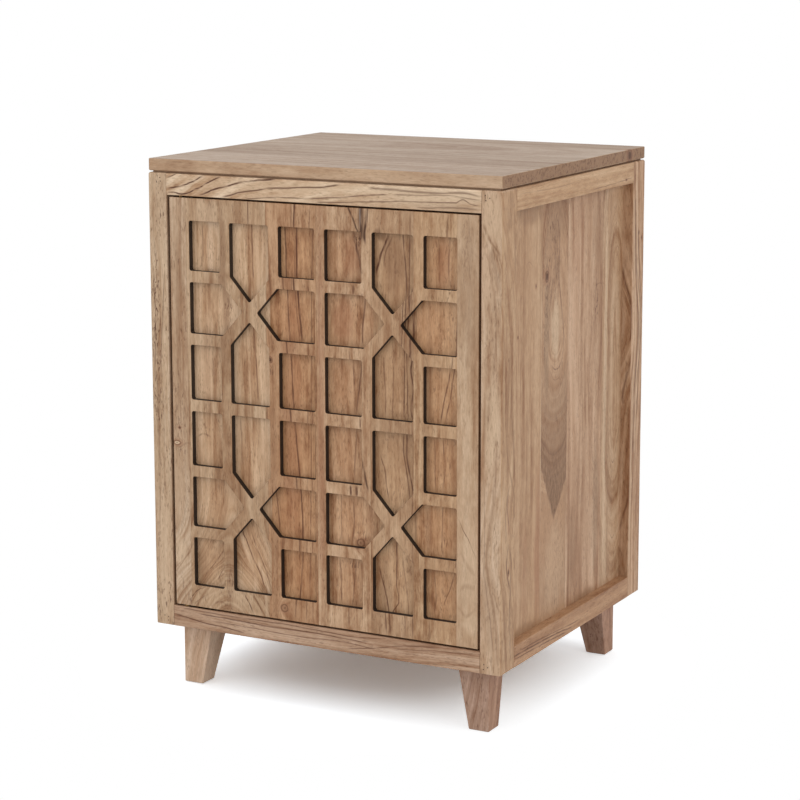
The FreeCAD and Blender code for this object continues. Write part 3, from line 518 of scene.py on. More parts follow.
BOARDS = {
    "door_stave_1": dict(
        base=(188, 157, 127), band=8, ring=8, line=0.18, floor=(1.17, 1.16, 1.14, 1), pith=(-122, -170),
        bend=ARCH, seam=0.12, bands=1.15, streaks=0.5, speck=0.5,
        patches=((-187, 440, 3.5, 130, BROWN, 0.35), (-190, 165, 9, 22, PALE, 0.7)),
        knots=((-192, 296, 5, 2.6, "pale"), (-188, 314, 1.6, 1.6, "dark")),
        dashes=((-188, 314, 9, 9, 0.5),),
        waves=(
            ((-197, 291, -188, 291, -178, 297, -171, 295), 2, 0.3),
            ((-197, 159, -185, 171, -173, 187), 6, 0.6, PALE),
            ((-197, 142, -185, 157, -172, 170), 1.8, 0.6, BROWN))),
    "door_stave_2": dict(
        base=(179, 145, 112), ring=9, line=0.28, floor=(1.27, 1.26, 1.27, 1), pith=(-122, -172),
        bend=ARCH, wander=5, bands=1.5, streaks=0.6, seam=0.15,
        patches=(
            (-127, 490, 6, 110, BROWN, 0.7), (-147, 565, 16, 20, PALE, 0.5),
            (-163, 150, 9, 26, BROWN, 0.35), (-148, 525, 5, 40, PALE, 0.6),
            (-152, 395, 9, 70, PALE, 0.3), (-112, 120, 12, 20, PALE, 0.3), (-122, 150, 7, 40, BROWN, 0.4)),
        dashes=(
            (-123, 452, 5, 14, 0.7), (-92, 474, 6, 8, 0.6), (-122, 130, 6, 36, 0.5),
            (-158, 313, 14, 10, 0.6)),
        strokes=(
            ((102, -97, 140, -92, 175, -104, 200, -112), 4.5, 0.45, PALE),
            ((102, -73, 135, -76, 170, -90), 3.5, 0.5, PALE),
            ((136, -168, 152, -156, 186, -137), 3.6, 0.4, BROWN),
            ((102, -164, 116, -153, 128, -138), 4, 0.45, PALE),
            ((150, -102, 175, -92, 190, -84), 3, 0.3, BROWN),
            ((490, -90, 530, -91.5, 593, -92), 1.6, 0.75), ((350, -86, 400, -88, 440, -91), 1.5, 0.55),
            ((272, -108, 310, -109, 335, -110), 1.6, 0.45), ((500, -160, 530, -157, 556, -158), 2, 0.4),
            ((130, -79, 160, -91, 190, -105, 205, -110), 1.8, 0.8),
            ((132, -71, 170, -85, 200, -97), 1.2, 0.55), ((102, -90, 118, -98, 131, -105), 1.9, 0.8),
            ((102, -78, 116, -84, 131, -92), 1.2, 0.6),
            ((102, -185, 112, -177, 124, -164, 131, -150), 2, 0.8),
            ((102, -172, 110, -166, 121, -152), 1.2, 0.5),
            ((134, -163, 150, -152, 168, -138, 184, -131), 1.5, 0.6),
            ((130, -146, 146, -138, 160, -132), 1.3, 0.6)),
        waves=(
            ((-171, 303, -160, 308, -148, 304), 2.2, 0.45),
            ((-152, 103, -138, 112, -122, 108), 2.2, 0.35))),
    "door_stave_3": dict(
        base=(177, 135, 99), ruddy=0.4, ring=10, line=0.12, floor=(1.11, 1.03, 0.94, 1),
        pith=(-600, 120), seam=0.3, wander=6, streaks=0.38, bands=1.15, mottle=0.8,
        patches=((-40, 370, 12, 170, RUDDY, 0.35), (-62, 250, 6, 150, BROWN, 0.3)),
        knots=((-49, 116, 4.4, 4.4, "brown"), (-65, 404, 3, 3.6, "dark")),
        dashes=((-62, 393, 5, 8, 0.7), (-49, 310, 3, 30, 0.35)),
        strokes=(
            ((102, -35, 186, -28.5, 258, -31, 335, -38, 412, -42, 486, -46, 560, -48), 1.9, 0.8),
            ((424, -27.5, 484, -32.5, 530, -33.5, 593, -31), 2, 0.95),
            ((426, -30.5, 484, -36, 540, -36, 593, -35.5), 1.1, 0.5),
            ((102, -20, 350, -16, 500, -14, 583, -11.5), 1.3, 0.5),
            ((102, -12, 300, -11, 400, -10), 1.1, 0.45), ((200, -59, 230, -61, 260, -64), 1.5, 0.65))),
    "door_stave_4": dict(
        base=(188, 151, 117), ruddy=0.35, ring=10, line=0.15, streaks=0.45, floor=(1.01, 0.91, 0.83, 1),
        pith=(-500, 120), seam=0.12, bands=1.15, mottle=0.8,
        patches=(
            (1, 340, 5, 260, RUDDY, 0.55), (36, 525, 14, 24, RUDDY, 0.4), (25, 455, 14, 24, RUDDY, 0.45),
            (54, 562, 6.5, 26, BROWN, 0.7), (60, 230, 10, 30, PALE, 0.2)),
        knots=((46.7, 202.8, 4.6, 4.4, "brown"),),
        dashes=((46, 545, 8, 8, 0.9), (40, 177, 8, 8, 0.8), (47, 210, 8, 8, 0.7)),
        strokes=(
            ((543, 52, 560, 53, 594, 52), 5.2, 1, BLACK_LINE),
            ((556, 51.5, 570, 52, 592, 51.5), 1.2, 0.7, FILLER),
            ((540, 59.5, 552, 57.5, 566, 59.5, 594, 61.5), 2.8, 1, BLACK_LINE),
            ((543, 50.5, 560, 47, 594, 33), 2, 0.9, BLACK_LINE),
            ((500, 51, 530, 45, 556, 40), 2.6, 0.95), ((503, 49, 540, 48), 7, 0.6, BROWN),
            ((426, 49.5, 455, 51, 486, 54), 1.8, 0.75), ((484, 43, 498, 44), 3, 0.6),
            ((348, 41.5, 375, 45, 413, 50), 1.8, 0.7), ((350, 40, 380, 39.5, 425, 38), 1.6, 0.55),
            ((272, 39, 305, 40.5, 337, 43), 1.5, 0.5), ((334, 51, 350, 51), 1.8, 0.8),
            ((262, 61, 272, 59, 290, 55, 307, 52), 2.4, 0.85, BLACK_LINE),
            ((256, 38.5, 272, 38.5), 2.6, 0.95), ((256, 46, 272, 46), 3, 0.85),
            ((198, 36, 228, 38.5, 260, 37), 1.5, 0.6), ((200, 22, 260, 22), 1.2, 0.4),
            ((102, 35, 130, 36, 186, 41), 1.5, 0.5), ((128, 22, 186, 19.5), 1.6, 0.65))),
    "door_stave_5": dict(
        base=(178, 141, 107), band=8, ring=9, line=0.2, streaks=0.4, mottle=0.6,
        floor=(1.07, 1.03, 0.98, 1), pith=(-380, 90), seam=0.12, grey=0.3, ruddy=0.15,
        patches=(
            (90, 524, 15, 32, BROWN, 0.65), (78, 150, 10, 30, GREY, 0.35),
            (73, 554, 7, 8, HEARTWOOD, 0.7)),
        strokes=(
            ((506, 67.5, 520, 70.5, 536, 75.5, 556, 84), 2.5, 0.95),
            ((515, 77, 535, 80, 556, 89), 1.6, 0.55),
            ((350, 102, 440, 103, 500, 105, 562, 101), 1.6, 0.75),
            ((348, 107, 420, 105.5, 470, 108, 556, 109.5), 1.3, 0.75),
            ((345, 114, 362, 111, 386, 113.5, 405, 110.5, 426, 114, 500, 112.5), 1.8, 0.9),
            ((262, 114, 280, 111, 300, 106.5, 338, 105), 1.9, 0.9),
            ((258, 109, 285, 106, 310, 102, 337, 101), 1.5, 0.75),
            ((250, 84, 270, 80, 292, 77.5, 310, 71), 1.3, 0.7), ((350, 79, 390, 78, 420, 77), 1.6, 0.55),
            ((340, 88, 380, 88.5, 430, 90), 1.4, 0.4),
            ((102, 89, 128, 87.5, 140, 95, 160, 92.5, 216, 93), 1.5, 0.8),
            ((102, 83, 130, 82, 158, 76, 182, 70), 1.5, 0.85),
            ((102, 107, 150, 106, 195, 100), 1.3, 0.5), ((102, 116.5, 350, 116, 583, 114), 1.2, 0.5))),
    "door_stave_6": dict(
        base=(185, 148, 112), ring=10, line=0.12, floor=(1.06, 0.95, 0.87, 1), pith=(-400, 120),
        seam=0.1, streaks=0.35, bands=1.05, mottle=0.75,
        patches=(
            (152, 525, 10, 30, RUDDY, 0.4), (133, 380, 5, 110, BROWN, 0.3), (132, 230, 5, 30, BROWN, 0.5)),
        strokes=(
            ((348, 153, 372, 158, 412, 164.5, 480, 168), 1.4, 0.7),
            ((348, 147.5, 380, 152.5, 412, 159.5), 1.4, 0.75),
            ((500, 158, 530, 157, 583, 160), 1.8, 0.5), ((500, 146, 556, 145), 1.5, 0.4),
            ((272, 150, 300, 152.5, 336, 150), 1.4, 0.6), ((272, 141, 336, 140), 1.2, 0.5),
            ((200, 149, 260, 150), 1.4, 0.45), ((140, 150, 160, 158, 186, 166), 1.3, 0.6),
            ((130, 139, 152, 142, 180, 139), 1.3, 0.5), ((102, 137, 130, 138), 1.3, 0.6)),
        dashes=((168, 197, 4, 8, 0.8), (160, 500, 6, 60, 0.35))),
    "door_stave_7": dict(
        base=(190, 157, 125), band=14, ring=14, line=0.1, floor=(1, 1, 1, 1), pith=(-300, 40), ripple=3,
        seam=0.1, grey=0.08, ruddy=0.15, bands=0.8, streaks=0.3, speck=0.12, fleck=0.35,
        patches=(
            (186, 190, 12, 50, PALE, 0.5), (190, 130, 10, 14, PALE, 0.5), (184, 500, 16, 90, BROWN, 0.4)),
        dashes=((181, 540, 7, 60, 0.3), (178, 395, 5, 60, 0.15)),
        waves=(
            ((170.5, 250, 178, 237, 187, 222, 197, 203), 1.9, 0.65),
            ((171, 262, 180, 250, 197, 222), 5, 0.35, PALE),
            ((171, 216, 181, 200, 197, 184), 6, 0.3, BROWN),
            ((171, 163, 182, 172, 197, 170), 5, 0.3, BROWN),
            ((171, 150, 183, 138, 197, 150), 4, 0.35, BROWN),
            ((171, 126, 183, 128, 197, 120), 6, 0.45, PALE))),
    "left_front_post": dict(
        base=(195, 165, 134), band=7, line=0.3, pith=(-640, 60), wander=5, ripple=2.2, seam=0.6,
        grey=0.1, bands=0.6, streaks=0.6, speck=0.7, gap=(0, 0, 201, 200.4, 0.4),
        bend=((75, 0), (400, 2), (490, 5), (540, 0), (609, 1)),
        dashes=((-216, 440, 7, 90, 1), (-215, 340, 6, 40, 0.5)),
        patches=((-207, 490, 3.5, 40, PALE, 0.7), (-211, 160, 11, 90, PALE, 0.65)),
        strokes=(
            ((380, -213, 420, -210, 470, -206.5, 500, -204), 1.3, 0.5),
            ((370, -221, 430, -218, 500, -220), 1.4, 0.5))),
    "right_front_post": dict(
        base=(193, 161, 131), band=11, ring=12, line=0.12, pith=(60, -330), wander=5, ripple=1.4,
        seam=0.6, grey=0.1, bands=1.35, streaks=0.4, side=(0.88, 0.8, 0.7, 1), speck=0.25,
        gap=(0, 0, 201, 200.4, 0.4),
        bend=((75, 4), (150, 0), (210, -8), (300, 1), (420, 6), (520, -4), (609, -26)),
        knots=((225, 188, 1.8, 3.6, "dark", -178.4),),
        patches=(
            (214, 585, 12, 32, tint(203, 172, 141), 1), (213, 350, 9, 60, PALE, 0.7),
            (207.5, 516, 8, 34, tint(201, 169, 139), 1), (212, 150, 12, 60, BROWN, 0.25)),
        strokes=(
            ((536, 225, 552, 213, 577, 201), 3, 0.8, BROWN),
            ((495, 222, 520, 218, 550, 211), 5, 0.6, BROWN),
            ((350, 208, 400, 213, 450, 218, 500, 215, 545, 208), 3.2, 0.45, BROWN),
            ((190, 207, 220, 209, 270, 216, 345, 219), 3.4, 0.6, BROWN),
            ((180, 204, 230, 205.5, 300, 204), 1.3, 0.35),
            ((88, 222, 130, 220, 170, 213, 205, 207), 3.4, 0.6, BROWN),
            ((100, 216, 150, 211, 190, 205), 1.3, 0.35)),
        side_strokes=(
            ((225, -178, 250, -180, 278, -178), 5, 0.55, RUDDY),
            ((222, -184.5, 250, -186, 282, -181), 2.2, 0.4),
            ((285, -165, 340, -169, 385, -173, 404, -171), 5, 0.65, BROWN),
            ((290, -181, 350, -184, 432, -178), 4, 0.5, BROWN),
            ((240, -165, 275, -166, 305, -178, 322, -181), 3.4, 0.5, BROWN),
            ((330, -190, 400, -192, 470, -191, 560, -195), 4, 0.6, PALE),
            ((505, -165, 545, -166, 590, -168), 6, 0.5, BROWN),
            ((560, -180, 590, -178, 609, -178), 11, 0.45, BROWN),
            ((236, -177, 262, -181.5, 290, -177), 1.6, 0.55),
            ((165, -174, 193, -183, 222, -178), 2, 0.75), ((168, -175, 193, -171, 218, -176), 1.7, 0.6),
            ((80, -171, 130, -175, 178, -172), 3, 0.4), ((80, -184, 130, -186, 168, -190), 5, 0.5, BROWN))),
    "right_back_post": dict(
        base=(190, 152, 119), band=6, ring=6, line=0.45, pith=(-60, -400), wander=5, ripple=1.4,
        seam=0.6, bands=1.5, gap=(1, 162, 1, 0.4, 0.12),
        bend=((75, 0), (200, 2), (330, 8), (410, 20), (470, 9), (560, 0), (609, -2)),
        side_strokes=(
            ((110, 165, 250, 166, 340, 169, 405, 176, 470, 170, 570, 164), 3, 0.7, PALE),
            ((250, 171, 340, 175, 405, 182, 470, 175, 570, 168), 2.6, 0.6),
            ((250, 176, 350, 181, 408, 188, 465, 181, 590, 172), 3, 0.7, PALE),
            ((300, 184, 360, 187, 410, 193, 460, 187, 530, 178), 2.4, 0.55),
            ((120, 190, 200, 189, 270, 188), 5, 0.4, RUDDY),
            ((330, 175, 380, 182, 410, 184, 440, 180, 500, 173, 540, 170), 1.5, 0.75),
            ((370, 185, 410, 188, 440, 186, 480, 178), 1.4, 0.7)),
        strokes=(
            ((390, 225, 437, 224.5, 465, 216.3, 485, 212.5), 2.4, 0.6),
            ((315, 213, 345, 218.7, 375, 224.5), 2.4, 0.6), ((155, 213, 180, 218.7, 205, 225), 2.4, 0.6)),
        knots=(
            (225, 523, 1.5, 2.8, "dark", 181), (225, 516, 1.3, 2.4, "dark", 190),
            (225, 505, 1.3, 2.6, "dark", 196.5))),
    "left_back_post": dict(base=(180, 149, 120), band=6, ring=5.5, pith=(420, 300), seam=0.6),
    "front_top_rail": dict(
        grain="X", across="Z", base=(214, 184, 152), band=6, ring=8, line=0.12, pith=(500, 0), wander=3,
        grey=0.1, ruddy=0.15, seam=0.5, bands=0.85, streaks=0.5,
        bend=((-200, 0), (-120, 20), (-30, 32), (80, 42), (200, 46)), gap=(0, 596.5, 11.8, 12.3, 0.4),
        speck=0.2,
        patches=(
            (588, 172, 4, 26, BROWN, 0.35), (600, 125, 7, 80, PALE, 0.45), (600, -60, 6, 70, PALE, 0.4),
            (592, 60, 3, 60, PALE, 0.4), (597, 140, 12, 76, tint(214, 187, 157), 0.6)),
        strokes=(
            ((-201, 604, -192, 606, -184, 609.5), 1.3, 0.9),
            ((-201, 591.5, -188, 593.5, -172, 598, -158, 604, -147, 609.5), 1.8, 1),
            ((-201, 587, -190, 587.5, -179, 585.8, -164, 591, -149, 598, -124, 609), 1.7, 1),
            ((-158, 585, -140, 592, -112, 600, -84, 605.5, -52, 608.5), 1.8, 1),
            ((-128, 585, -104, 591, -70, 597, -30, 600.5, 8, 603, 30, 607), 1.6, 0.85),
            ((-98, 585, -58, 588, -10, 589.5, 40, 594, 90, 599), 1.5, 0.7),
            ((-6, 585.5, 50, 588.5, 100, 592, 170, 594, 178, 598, 186, 594, 201, 591.5), 1.4, 0.7),
            ((60, 605, 100, 604, 140, 603, 180, 605, 201, 602), 2.2, 0.6),
            ((90, 599, 130, 600, 165, 601, 201, 598), 1.6, 0.5),
            ((120, 586, 155, 587.5, 178, 588.5, 201, 588), 1.8, 0.5))),
    "front_bottom_rail": dict(
        grain="X", across="Z", base=(179, 144, 116), band=5, ring=5, line=0.45, pith=(-300, 40),
        wander=4, ripple=1.2, seam=0.5, bands=1.1, streaks=0.9, gap=(0, 87.5, 11.8, 12.3, 0.3),
        bend=((-200, 4), (-40, -1), (120, 2), (200, 6)),
        strokes=(
            ((-201, 89, -165, 84.5, -130, 82, -100, 79), 1.5, 0.8),
            ((-170, 94, -110, 93, -60, 91.5, -10, 92.5, 60, 90), 1.6, 0.75),
            ((-190, 98, -120, 96.5, -40, 97, 40, 95, 80, 97.5), 1.2, 0.65),
            ((-150, 87.5, -90, 86.5, -30, 85, 30, 87, 70, 84), 1.2, 0.6),
            ((30, 80, 70, 86, 105, 93, 150, 97), 1.4, 0.6), ((90, 88, 140, 92.5, 198, 96), 1.2, 0.5))),
    "right_top_rail": dict(
        grain="Y", across="Z", base=(190, 153, 117), band=8, ring=9, line=0.1, bands=0.65, streaks=0.25,
        pith=(-300, 0), wander=5, grey=0, seam=0.5, ruddy=0.2, fleck=0.25, speck=0.15,
        gap=(0, 596.5, 11.8, 12.3, 0.4), knots=((590, 140, 1.2, 2.4, "dark"),),
        strokes=(((40, 588, 100, 589, 160, 591), 1, 0.5), ((-160, 602, -80, 600, 0, 601), 0.9, 0.3))),
    "right_bottom_rail": dict(
        grain="Y", across="Z", base=(173, 131, 96), ring=10, line=0.1, pith=(-300, 0), wander=5,
        seam=0.5, bands=0.8, streaks=0.5, speck=0.2,
        strokes=(
            ((-162, 88, -100, 86.5, -40, 84, 0, 81), 1.7, 0.8),
            ((-162, 84, -110, 83, -60, 81, -20, 79), 1.4, 0.7),
            ((-150, 91, -90, 89.5, -40, 87, 20, 84), 1.3, 0.6))),
    "left_top_rail": dict(grain="Y", across="Z", pith=(-300, 0), band=6, seam=0.5),
    "left_bottom_rail": dict(grain="Y", across="Z", pith=(260, 30), band=5, seam=0.5, base=(174, 142, 113)),
    "back_top_rail": dict(grain="X", across="Z", pith=(200, 30), band=5, seam=0.5),
    "back_bottom_rail": dict(
        grain="X", across="Z", pith=(-260, 10), band=6, seam=0.5, base=(174, 142, 113)),
    "right_panel_stave_1": dict(
        across="Y", base=(184, 147, 113), band=13, ring=14, line=0.08, pith=(-500, 200), fleck=0.3,
        grey=0.05, seam=0.15, bands=0.8, streaks=0.28, speck=0.15,
        patches=(
            (-75, 190, 9, 90, RUDDY, 0.5), (-110, 170, 8, 60, RUDDY, 0.3),
            # The wide brown patches low and high on this stave are painted shade along the recess, above
            # the bottom rail and under the top rail.
            (-67, 340, 3.5, 260, PALE, 0.7), (-105, 100, 40, 12, BROWN, 0.6),
            (-100, 575, 36, 14, BROWN, 0.5)),
        knots=((-85, 492, 1.2, 2.4, "dark"), (-131, 441, 1.3, 2, "dark")),
        waves=(((-112, 517, -103, 521, -92, 515), 1, 0.3),)),
    "right_panel_stave_2": dict(
        across="Y", base=(181, 143, 110), band=8, line=0.3, pith=(-32, 212),
        depth=((95, 150), (250, 92), (330, 52), (400, 20), (435, 2), (480, 12), (590, 40)), wander=4,
        seam=0.3, grey=0.35, ripple=1.3, calm=(300, 225), streaks=0.7,
        patches=(
            # The wide brown patch high on this stave is painted shade under the top rail.
            (-32, 438, 15, 36, PALE, 0.75), (-32, 560, 40, 26, BROWN, 0.45),
            (-32, 155, 34, 60, PALE, 0.28), (-56, 430, 8, 80, GREY, 0.5), (-28, 504, 9, 16, BROWN, 0.6)),
        dashes=((-45, 520, 26, 70, 0.55), (-58, 440, 8, 50, 0.6)), knots=((-56, 499, 4.4, 6, "dark"),),
        strokes=(
            ((398, -15, 412, -8, 440, -11, 475, -19, 505, -25), 1.5, 0.6),
            ((400, -44, 430, -49, 470, -46, 500, -39), 1.4, 0.45),
            ((500, -24, 530, -22, 565, -27), 1.6, 0.5), ((505, -33, 530, -35, 550, -32), 1.4, 0.4)),
        waves=(
            ((-44, 396, -30, 389, -17, 393, -7, 406), 1.6, 0.6),
            ((-52, 398, -40, 382, -26, 377, -12, 383), 1.2, 0.35)),
        tongue=(-32, 214, 1.9, 1.25, (335, 415))),
    "right_panel_stave_3": dict(
        across="Y", base=(187, 150, 119), band=15, ring=18, line=0.08, bands=1.4, streaks=0.35,
        pith=(-300, 100), grey=0.25, seam=0.15, wander=12, fleck=0.4,
        patches=(
            (88, 530, 18, 54, BROWN, 0.35), (30, 530, 24, 50, RUDDY, 0.25),
            # The wide brown patch low on this stave is painted shade above the bottom rail.
            (20, 165, 12, 60, BROWN, 0.4), (58, 96, 50, 14, BROWN, 0.7), (88, 200, 10, 90, GREY, 0.4)),
        dashes=((84, 450, 7, 36, 0.8), (84, 220, 8, 70, 0.4)),
        waves=(((76, 471, 90, 472, 105, 471), 1.4, 0.3), ((52, 104, 63, 120, 72, 103), 1.8, 0.45))),
    "right_panel_stave_4": dict(
        across="Y", base=(186, 151, 119), ring=16, line=0.3, bands=0.9, pith=(141, 212),
        depth=((95, 60), (243, 17), (380, 0.5), (511, 15), (590, 34)), wander=5, seam=0.3, grey=0.2,
        streaks=0.5, patches=((113, 350, 4.5, 260, PALE, 0.7), (116, 130, 8, 60, PALE, 0.5)),
        strokes=(
            ((110, 125, 350, 124, 580, 125), 5.5, 0.35, BROWN),
            ((250, 139, 300, 134.5, 400, 133, 485, 136), 2.6, 0.55, PALE),
            ((250, 143, 293, 161), 1.6, 0.4)),
        waves=(
            ((133, 254, 140, 247, 147, 255), 1.6, 0.6),
            ((125, 238, 141, 212, 158, 232), 2.4, 0.35, BROWN),
            ((122, 190, 141, 135, 160, 180), 3, 0.35, BROWN),
            ((130, 164, 141, 153, 152, 161), 1.6, 0.45), ((139, 504, 145, 510, 151, 503), 1.4, 0.6))),
    "left_panel_stave_1": dict(across="Y", base=(186, 150, 118), ring=8, pith=(-300, -200)),
    "left_panel_stave_2": dict(
        across="Y", base=(188, 152, 120), band=8, ring=8, pith=(8, -205), depth=((95, 4), (590, 95))),
    "left_panel_stave_3": dict(
        across="Y", base=(181, 145, 113), band=11, ring=9, pith=(420, -200), ruddy=0.45),
    "back_panel": dict(
        base=(183, 147, 115), band=14, ring=11, pith=(20, 190), depth=((90, 8), (590, 120)), wander=14),
    "floor_panel": dict(grain="X", across="Y", base=(178, 147, 118), band=13, ring=10, pith=(-420, 60)),
    "front_top_cleat": dict(grain="X", across="Y", pith=(-600, 560)),
    "back_top_cleat": dict(grain="X", across="Y", base=(174, 142, 113), pith=(600, 560)),
    "shelf": dict(
        grain="X", across="Y", base=(182, 151, 122), band=12, ring=10, pith=(10, 330),
        depth=((-200, 10), (200, 80)), wander=12),
    "left_leg_batten": dict(grain="Y", base=(173, 141, 111), pith=(-500, 40)),
    "right_leg_batten": dict(grain="Y", base=(175, 143, 114), pith=(500, 40)),
    "left_front_leg": dict(
        base=(212, 181, 154), ring=9, line=0.15, bands=0.6, streaks=0.4, mottle=0.2, speck=0.2,
        pith=(-330, -260), bend=((0, 0), (75, 14))),
    "right_front_leg": dict(
        base=(172, 137, 115), band=7, ring=8, line=0.2, streaks=0.75, side=(0.87, 0.75, 0.64, 1),
        mottle=0.5, pith=(300, -60), bend=((0, 0), (75, -10)), speck=0.6),
    "right_back_leg": dict(
        base=(165, 130, 110), band=7, ring=8, line=0.25, streaks=0.5, pith=(-60, 300), bands=1.1,
        mottle=0.6, speck=0.6, side=(1.08, 0.98, 0.86, 1)),
    "left_back_leg": dict(base=(173, 141, 114), band=5, ring=5, pith=(-200, 400)),
    "top_board_1": dict(
        TOP_BOARD, base=(180, 150, 121), band=9, ring=8, grey=0.15, pith=(-420, 560),
        side=(1.18, 1.18, 1.18, 1)),
    "top_board_2": dict(TOP_BOARD, base=(173, 143, 114), pith=(-500, 500)),
    "top_board_3": dict(TOP_BOARD, base=(176, 146, 117), pith=(80, 580), depth=((-225, 12), (225, 70))),
    "top_board_4": dict(
        TOP_BOARD, base=(172, 142, 113), pith=(520, 520), knots=((150, 224.5, 7, 7, "dark", 618),)),
}


def wood_finishes():
    for number, (name, choices) in enumerate(BOARDS.items()):
        dress(name, Wood(name, number, **choices).build())


def dress(name, material):
    """Gives a node this material and no other."""
    mesh = nodes[name].data
    mesh.materials.clear()
    mesh.materials.append(material)


# ---- small finishes
def metal(name, colour, sheened, roughness):
    """Plated or bare metal with brush marks and dulled patches."""
    finish = Finish(bpy.data.materials.new(name))
    marks = finish.noise((900.0, 900.0, 90.0), 2.0, detail=3.0, rough=0.7)
    patches = finish.noise((140.0, 140.0, 140.0), 5.0, detail=3.0)
    shade = finish.mix(patches.smooth(0.42, 0.7) * 0.6, colour, sheened)
    return finish.surface(shade, marks * 0.14 + patches * 0.12 + roughness, marks, relief=0.12,
                          depth=0.00005, Metallic=1.0)


def moulded(name, colour):
    """Moulded plastic with a fine matt texture."""
    finish = Finish(bpy.data.materials.new(name))
    grit = finish.noise((2200.0, 2200.0, 2200.0), 1.0)
    cloud = finish.noise((90.0, 90.0, 90.0), 4.0)
    shade = finish.mix(cloud.smooth(0.35, 0.7) * 0.25, colour, tint(120, 118, 114))
    return finish.surface(shade, grit * 0.12 + 0.42, grit, relief=0.25, depth=0.00006)


def felt(name, colour):
    """Pressed wool felt with loose fibres."""
    finish = Finish(bpy.data.materials.new(name))
    fibres = finish.noise((1800.0, 1400.0, 1600.0), 3.0, detail=4.0, rough=0.75, distort=1.5)
    shade = finish.mix(fibres.smooth(0.3, 0.7) * 0.5, colour, tint(126, 112, 98))
    return finish.surface(shade, fibres * 0.1 + 0.86, fibres, relief=0.6, depth=0.0003)


def hardware_finishes():
    brass = metal("brass", tint(150, 121, 78), tint(110, 86, 56), 0.28)
    zinc = metal("zinc", tint(186, 187, 188), tint(150, 150, 150), 0.24)
    dark = metal("dark_steel", tint(84, 74, 66), tint(60, 50, 44), 0.42)
    plastic = moulded("latch_plastic", tint(150, 148, 143))
    for name in ("upper_door_leaf", "lower_door_leaf", "upper_frame_leaf", "lower_frame_leaf",
                 "thrust_washer", "frame_screws"):
        dress(name, brass)
    for name in ("strike_plate", "top_screws", "shelf_pins", "door_screws", "leg_bolts",
                 "leg_nuts", "latch_magnet"):
        dress(name, zinc)
    dress("joint_brads", dark)
    for name in ("latch_housing", "latch_plunger"):
        dress(name, plastic)
    dress("floor_glides", felt("glide_felt", tint(98, 84, 72)))


# ---- new objects
def placed(name, data):
    """A new object in the scene that holds this mesh, lamp or camera."""
    made = bpy.data.objects.new(name, data)
    bpy.context.scene.collection.objects.link(made)
    return made


def modelled(name, bm, material):
    """A new object in the scene with this shape and material."""
    mesh = bpy.data.meshes.new(name)
    bm.to_mesh(mesh)
    bm.free()
    mesh.materials.append(material)
    return placed(name, mesh)


# ---- the latch's spring
SPRING_WIRE = 0.0009         # diameter of the wire
SPRING_TURNS = 7
STEPS_PER_TURN = 20
WIRE_SIDES = 10
WELD_DISTANCE = 1e-6


def latch_coil():
    """A wound compression spring behind the latch's plunger."""
    low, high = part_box("latch_spring")
    middle = (low + high) / 2
    wire = SPRING_WIRE / 2
    radius = (high.x - low.x) / 2 - wire
    rise = (high.y - low.y - SPRING_WIRE) / SPRING_TURNS
    steps = SPRING_TURNS * STEPS_PER_TURN
    bm = bmesh.new()
    start = Matrix.Translation((middle.x + radius, low.y + wire, middle.z))
    bmesh.ops.create_circle(bm, cap_ends=True, segments=WIRE_SIDES, radius=wire, matrix=start)
    bmesh.ops.spin(bm, geom=bm.faces[:] + bm.edges[:] + bm.verts[:], angle=math.tau * SPRING_TURNS,
                   steps=steps, axis=(0.0, 1.0, 0.0), cent=(middle.x, low.y, middle.z),
                   dvec=(0.0, rise * SPRING_TURNS / steps, 0.0))
    bmesh.ops.remove_doubles(bm, verts=bm.verts[:], dist=WELD_DISTANCE)
    bmesh.ops.recalc_face_normals(bm, faces=bm.faces[:])
    steel = metal("spring_wire", tint(190, 190, 190), tint(150, 150, 150), 0.2)
    coil = modelled("latch_coil", bm, steel)
    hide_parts("latch_spring")
    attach(coil, "case")


# ---- stage and camera
def seen_directly(finish):
    """1 for rays that the camera sees, straight or in a reflection, and 0 for the rest."""
    camera, glossy, through = [finish.node("ShaderNodeLightPath", output=name) for name in
                               ("Is Camera Ray", "Is Glossy Ray", "Is Transmission Ray")]
    return camera.most(glossy).most(through)


FLOOR_SIZE = 60.0
FLOOR_SEEN = (1.67, 1.75, 1.83, 1.0)
FLOOR_BOUNCE = (0.66, 0.66, 0.66, 1.0)
WHITE = (1.0, 1.0, 1.0, 1.0)
SHADOW_MIDDLE = (-0.0482, 0.0444, 0.0)
WHITE_FROM = (0.1333, 0.3847)    # distances from it over which the floor turns plain white


def floor():
    bm = bmesh.new()
    bmesh.ops.create_grid(bm, x_segments=1, y_segments=1, size=FLOOR_SIZE)
    finish = Finish(bpy.data.materials.new("floor_white"))
    seen = seen_directly(finish)
    shade = finish.mix(seen, FLOOR_BOUNCE, FLOOR_SEEN)
    lit = finish.node("ShaderNodeBsdfDiffuse", None, {"Color": shade})
    plain = finish.node("ShaderNodeEmission", None, {"Color": WHITE, "Strength": 1.0})
    offset = finish.node("ShaderNodeVectorMath", {"operation": "SUBTRACT"},
                         (finish.place(), SHADOW_MIDDLE))
    reach = finish.node("ShaderNodeVectorMath", {"operation": "LENGTH"}, (offset,), "Value")
    share = reach.smooth(*WHITE_FROM) * seen
    finish.finish_with(finish.node("ShaderNodeMixShader", None, (share, lit, plain)))
    ground = modelled("floor", bm, finish.owner)


WORLD_LIGHT = 0.74


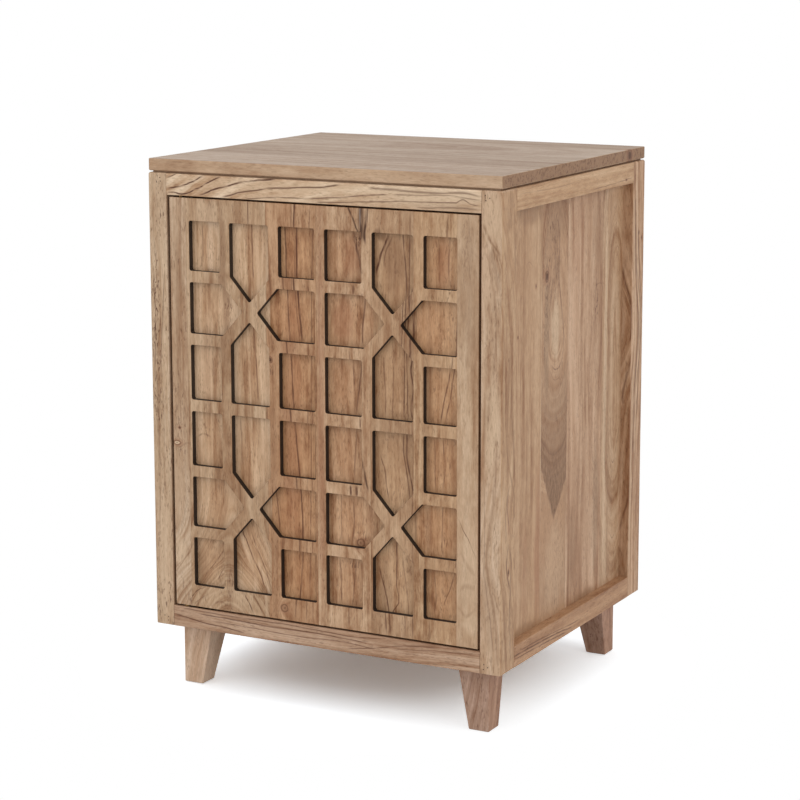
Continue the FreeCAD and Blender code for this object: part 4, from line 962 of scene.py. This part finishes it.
def world():
    """An even white light, plain white where the camera sees it."""
    sky = bpy.data.worlds.new("studio")
    bpy.context.scene.world = sky
    finish = Finish(sky)
    seen = finish.node("ShaderNodeLightPath", output="Is Camera Ray")
    strength = finish.node("ShaderNodeMapRange", None,
                           {"Value": seen, "To Min": WORLD_LIGHT, "To Max": 1.0})
    light = finish.node("ShaderNodeBackground", None, {"Color": WHITE, "Strength": strength})
    finish.node("ShaderNodeOutputWorld", None, {"Surface": light})


TARGET = Vector((0.0, 0.0, 0.33))
# Soft boxes: name, place, size, power, colour.
LAMPS = (
    ("overhead_softbox", (-0.2, 0.1, 3.1), 2.8, 27.0, (1.0, 1.0, 1.0)),
    ("left_softbox", (-1.9, -3.2, 1.7), 4.2, 29.0, (1.0, 0.99, 0.98)),
    ("right_softbox", (3.3, -1.2, 1.6), 2.2, 24.0, (1.0, 0.97, 0.92)),
)


def lamps():
    for name, place, size, power, colour in LAMPS:
        data = bpy.data.lights.new(name, "AREA")
        data.shape = "SQUARE"
        data.size = size
        data.energy = power
        data.color = colour
        lamp = placed(name, data)
        lamp.location = place
        lamp.rotation_euler = (TARGET - Vector(place)).to_track_quat("-Z", "Y").to_euler()
        lamp.visible_camera = False


CAMERA_PLACE = Vector((1.31504, -2.47595, 0.88299))
CAMERA_YAW = 0.48946
CAMERA_PITCH = 0.17432
CAMERA_ROLL = -0.00183
CAMERA_SENSOR = 36.0
CAMERA_LENS = 107.801
CAMERA_SHIFT = -0.06217
CAMERA_REACH = 200.0


def camera():
    data = bpy.data.cameras.new("camera")
    data.sensor_width = CAMERA_SENSOR
    data.lens = CAMERA_LENS
    data.shift_y = CAMERA_SHIFT
    data.clip_end = CAMERA_REACH
    eye = placed("camera", data)
    forward = Vector((-math.sin(CAMERA_YAW) * math.cos(CAMERA_PITCH),
                      math.cos(CAMERA_YAW) * math.cos(CAMERA_PITCH), -math.sin(CAMERA_PITCH)))
    turn = forward.to_track_quat("-Z", "Y").to_matrix() @ Matrix.Rotation(CAMERA_ROLL, 3, "Z")
    eye.matrix_world = Matrix.Translation(CAMERA_PLACE) @ turn.to_4x4()
    bpy.context.scene.camera = eye


wood_finishes()
hardware_finishes()
latch_coil()
floor()
world()
lamps()
camera()
bpy.context.scene.view_settings.view_transform = "Standard"
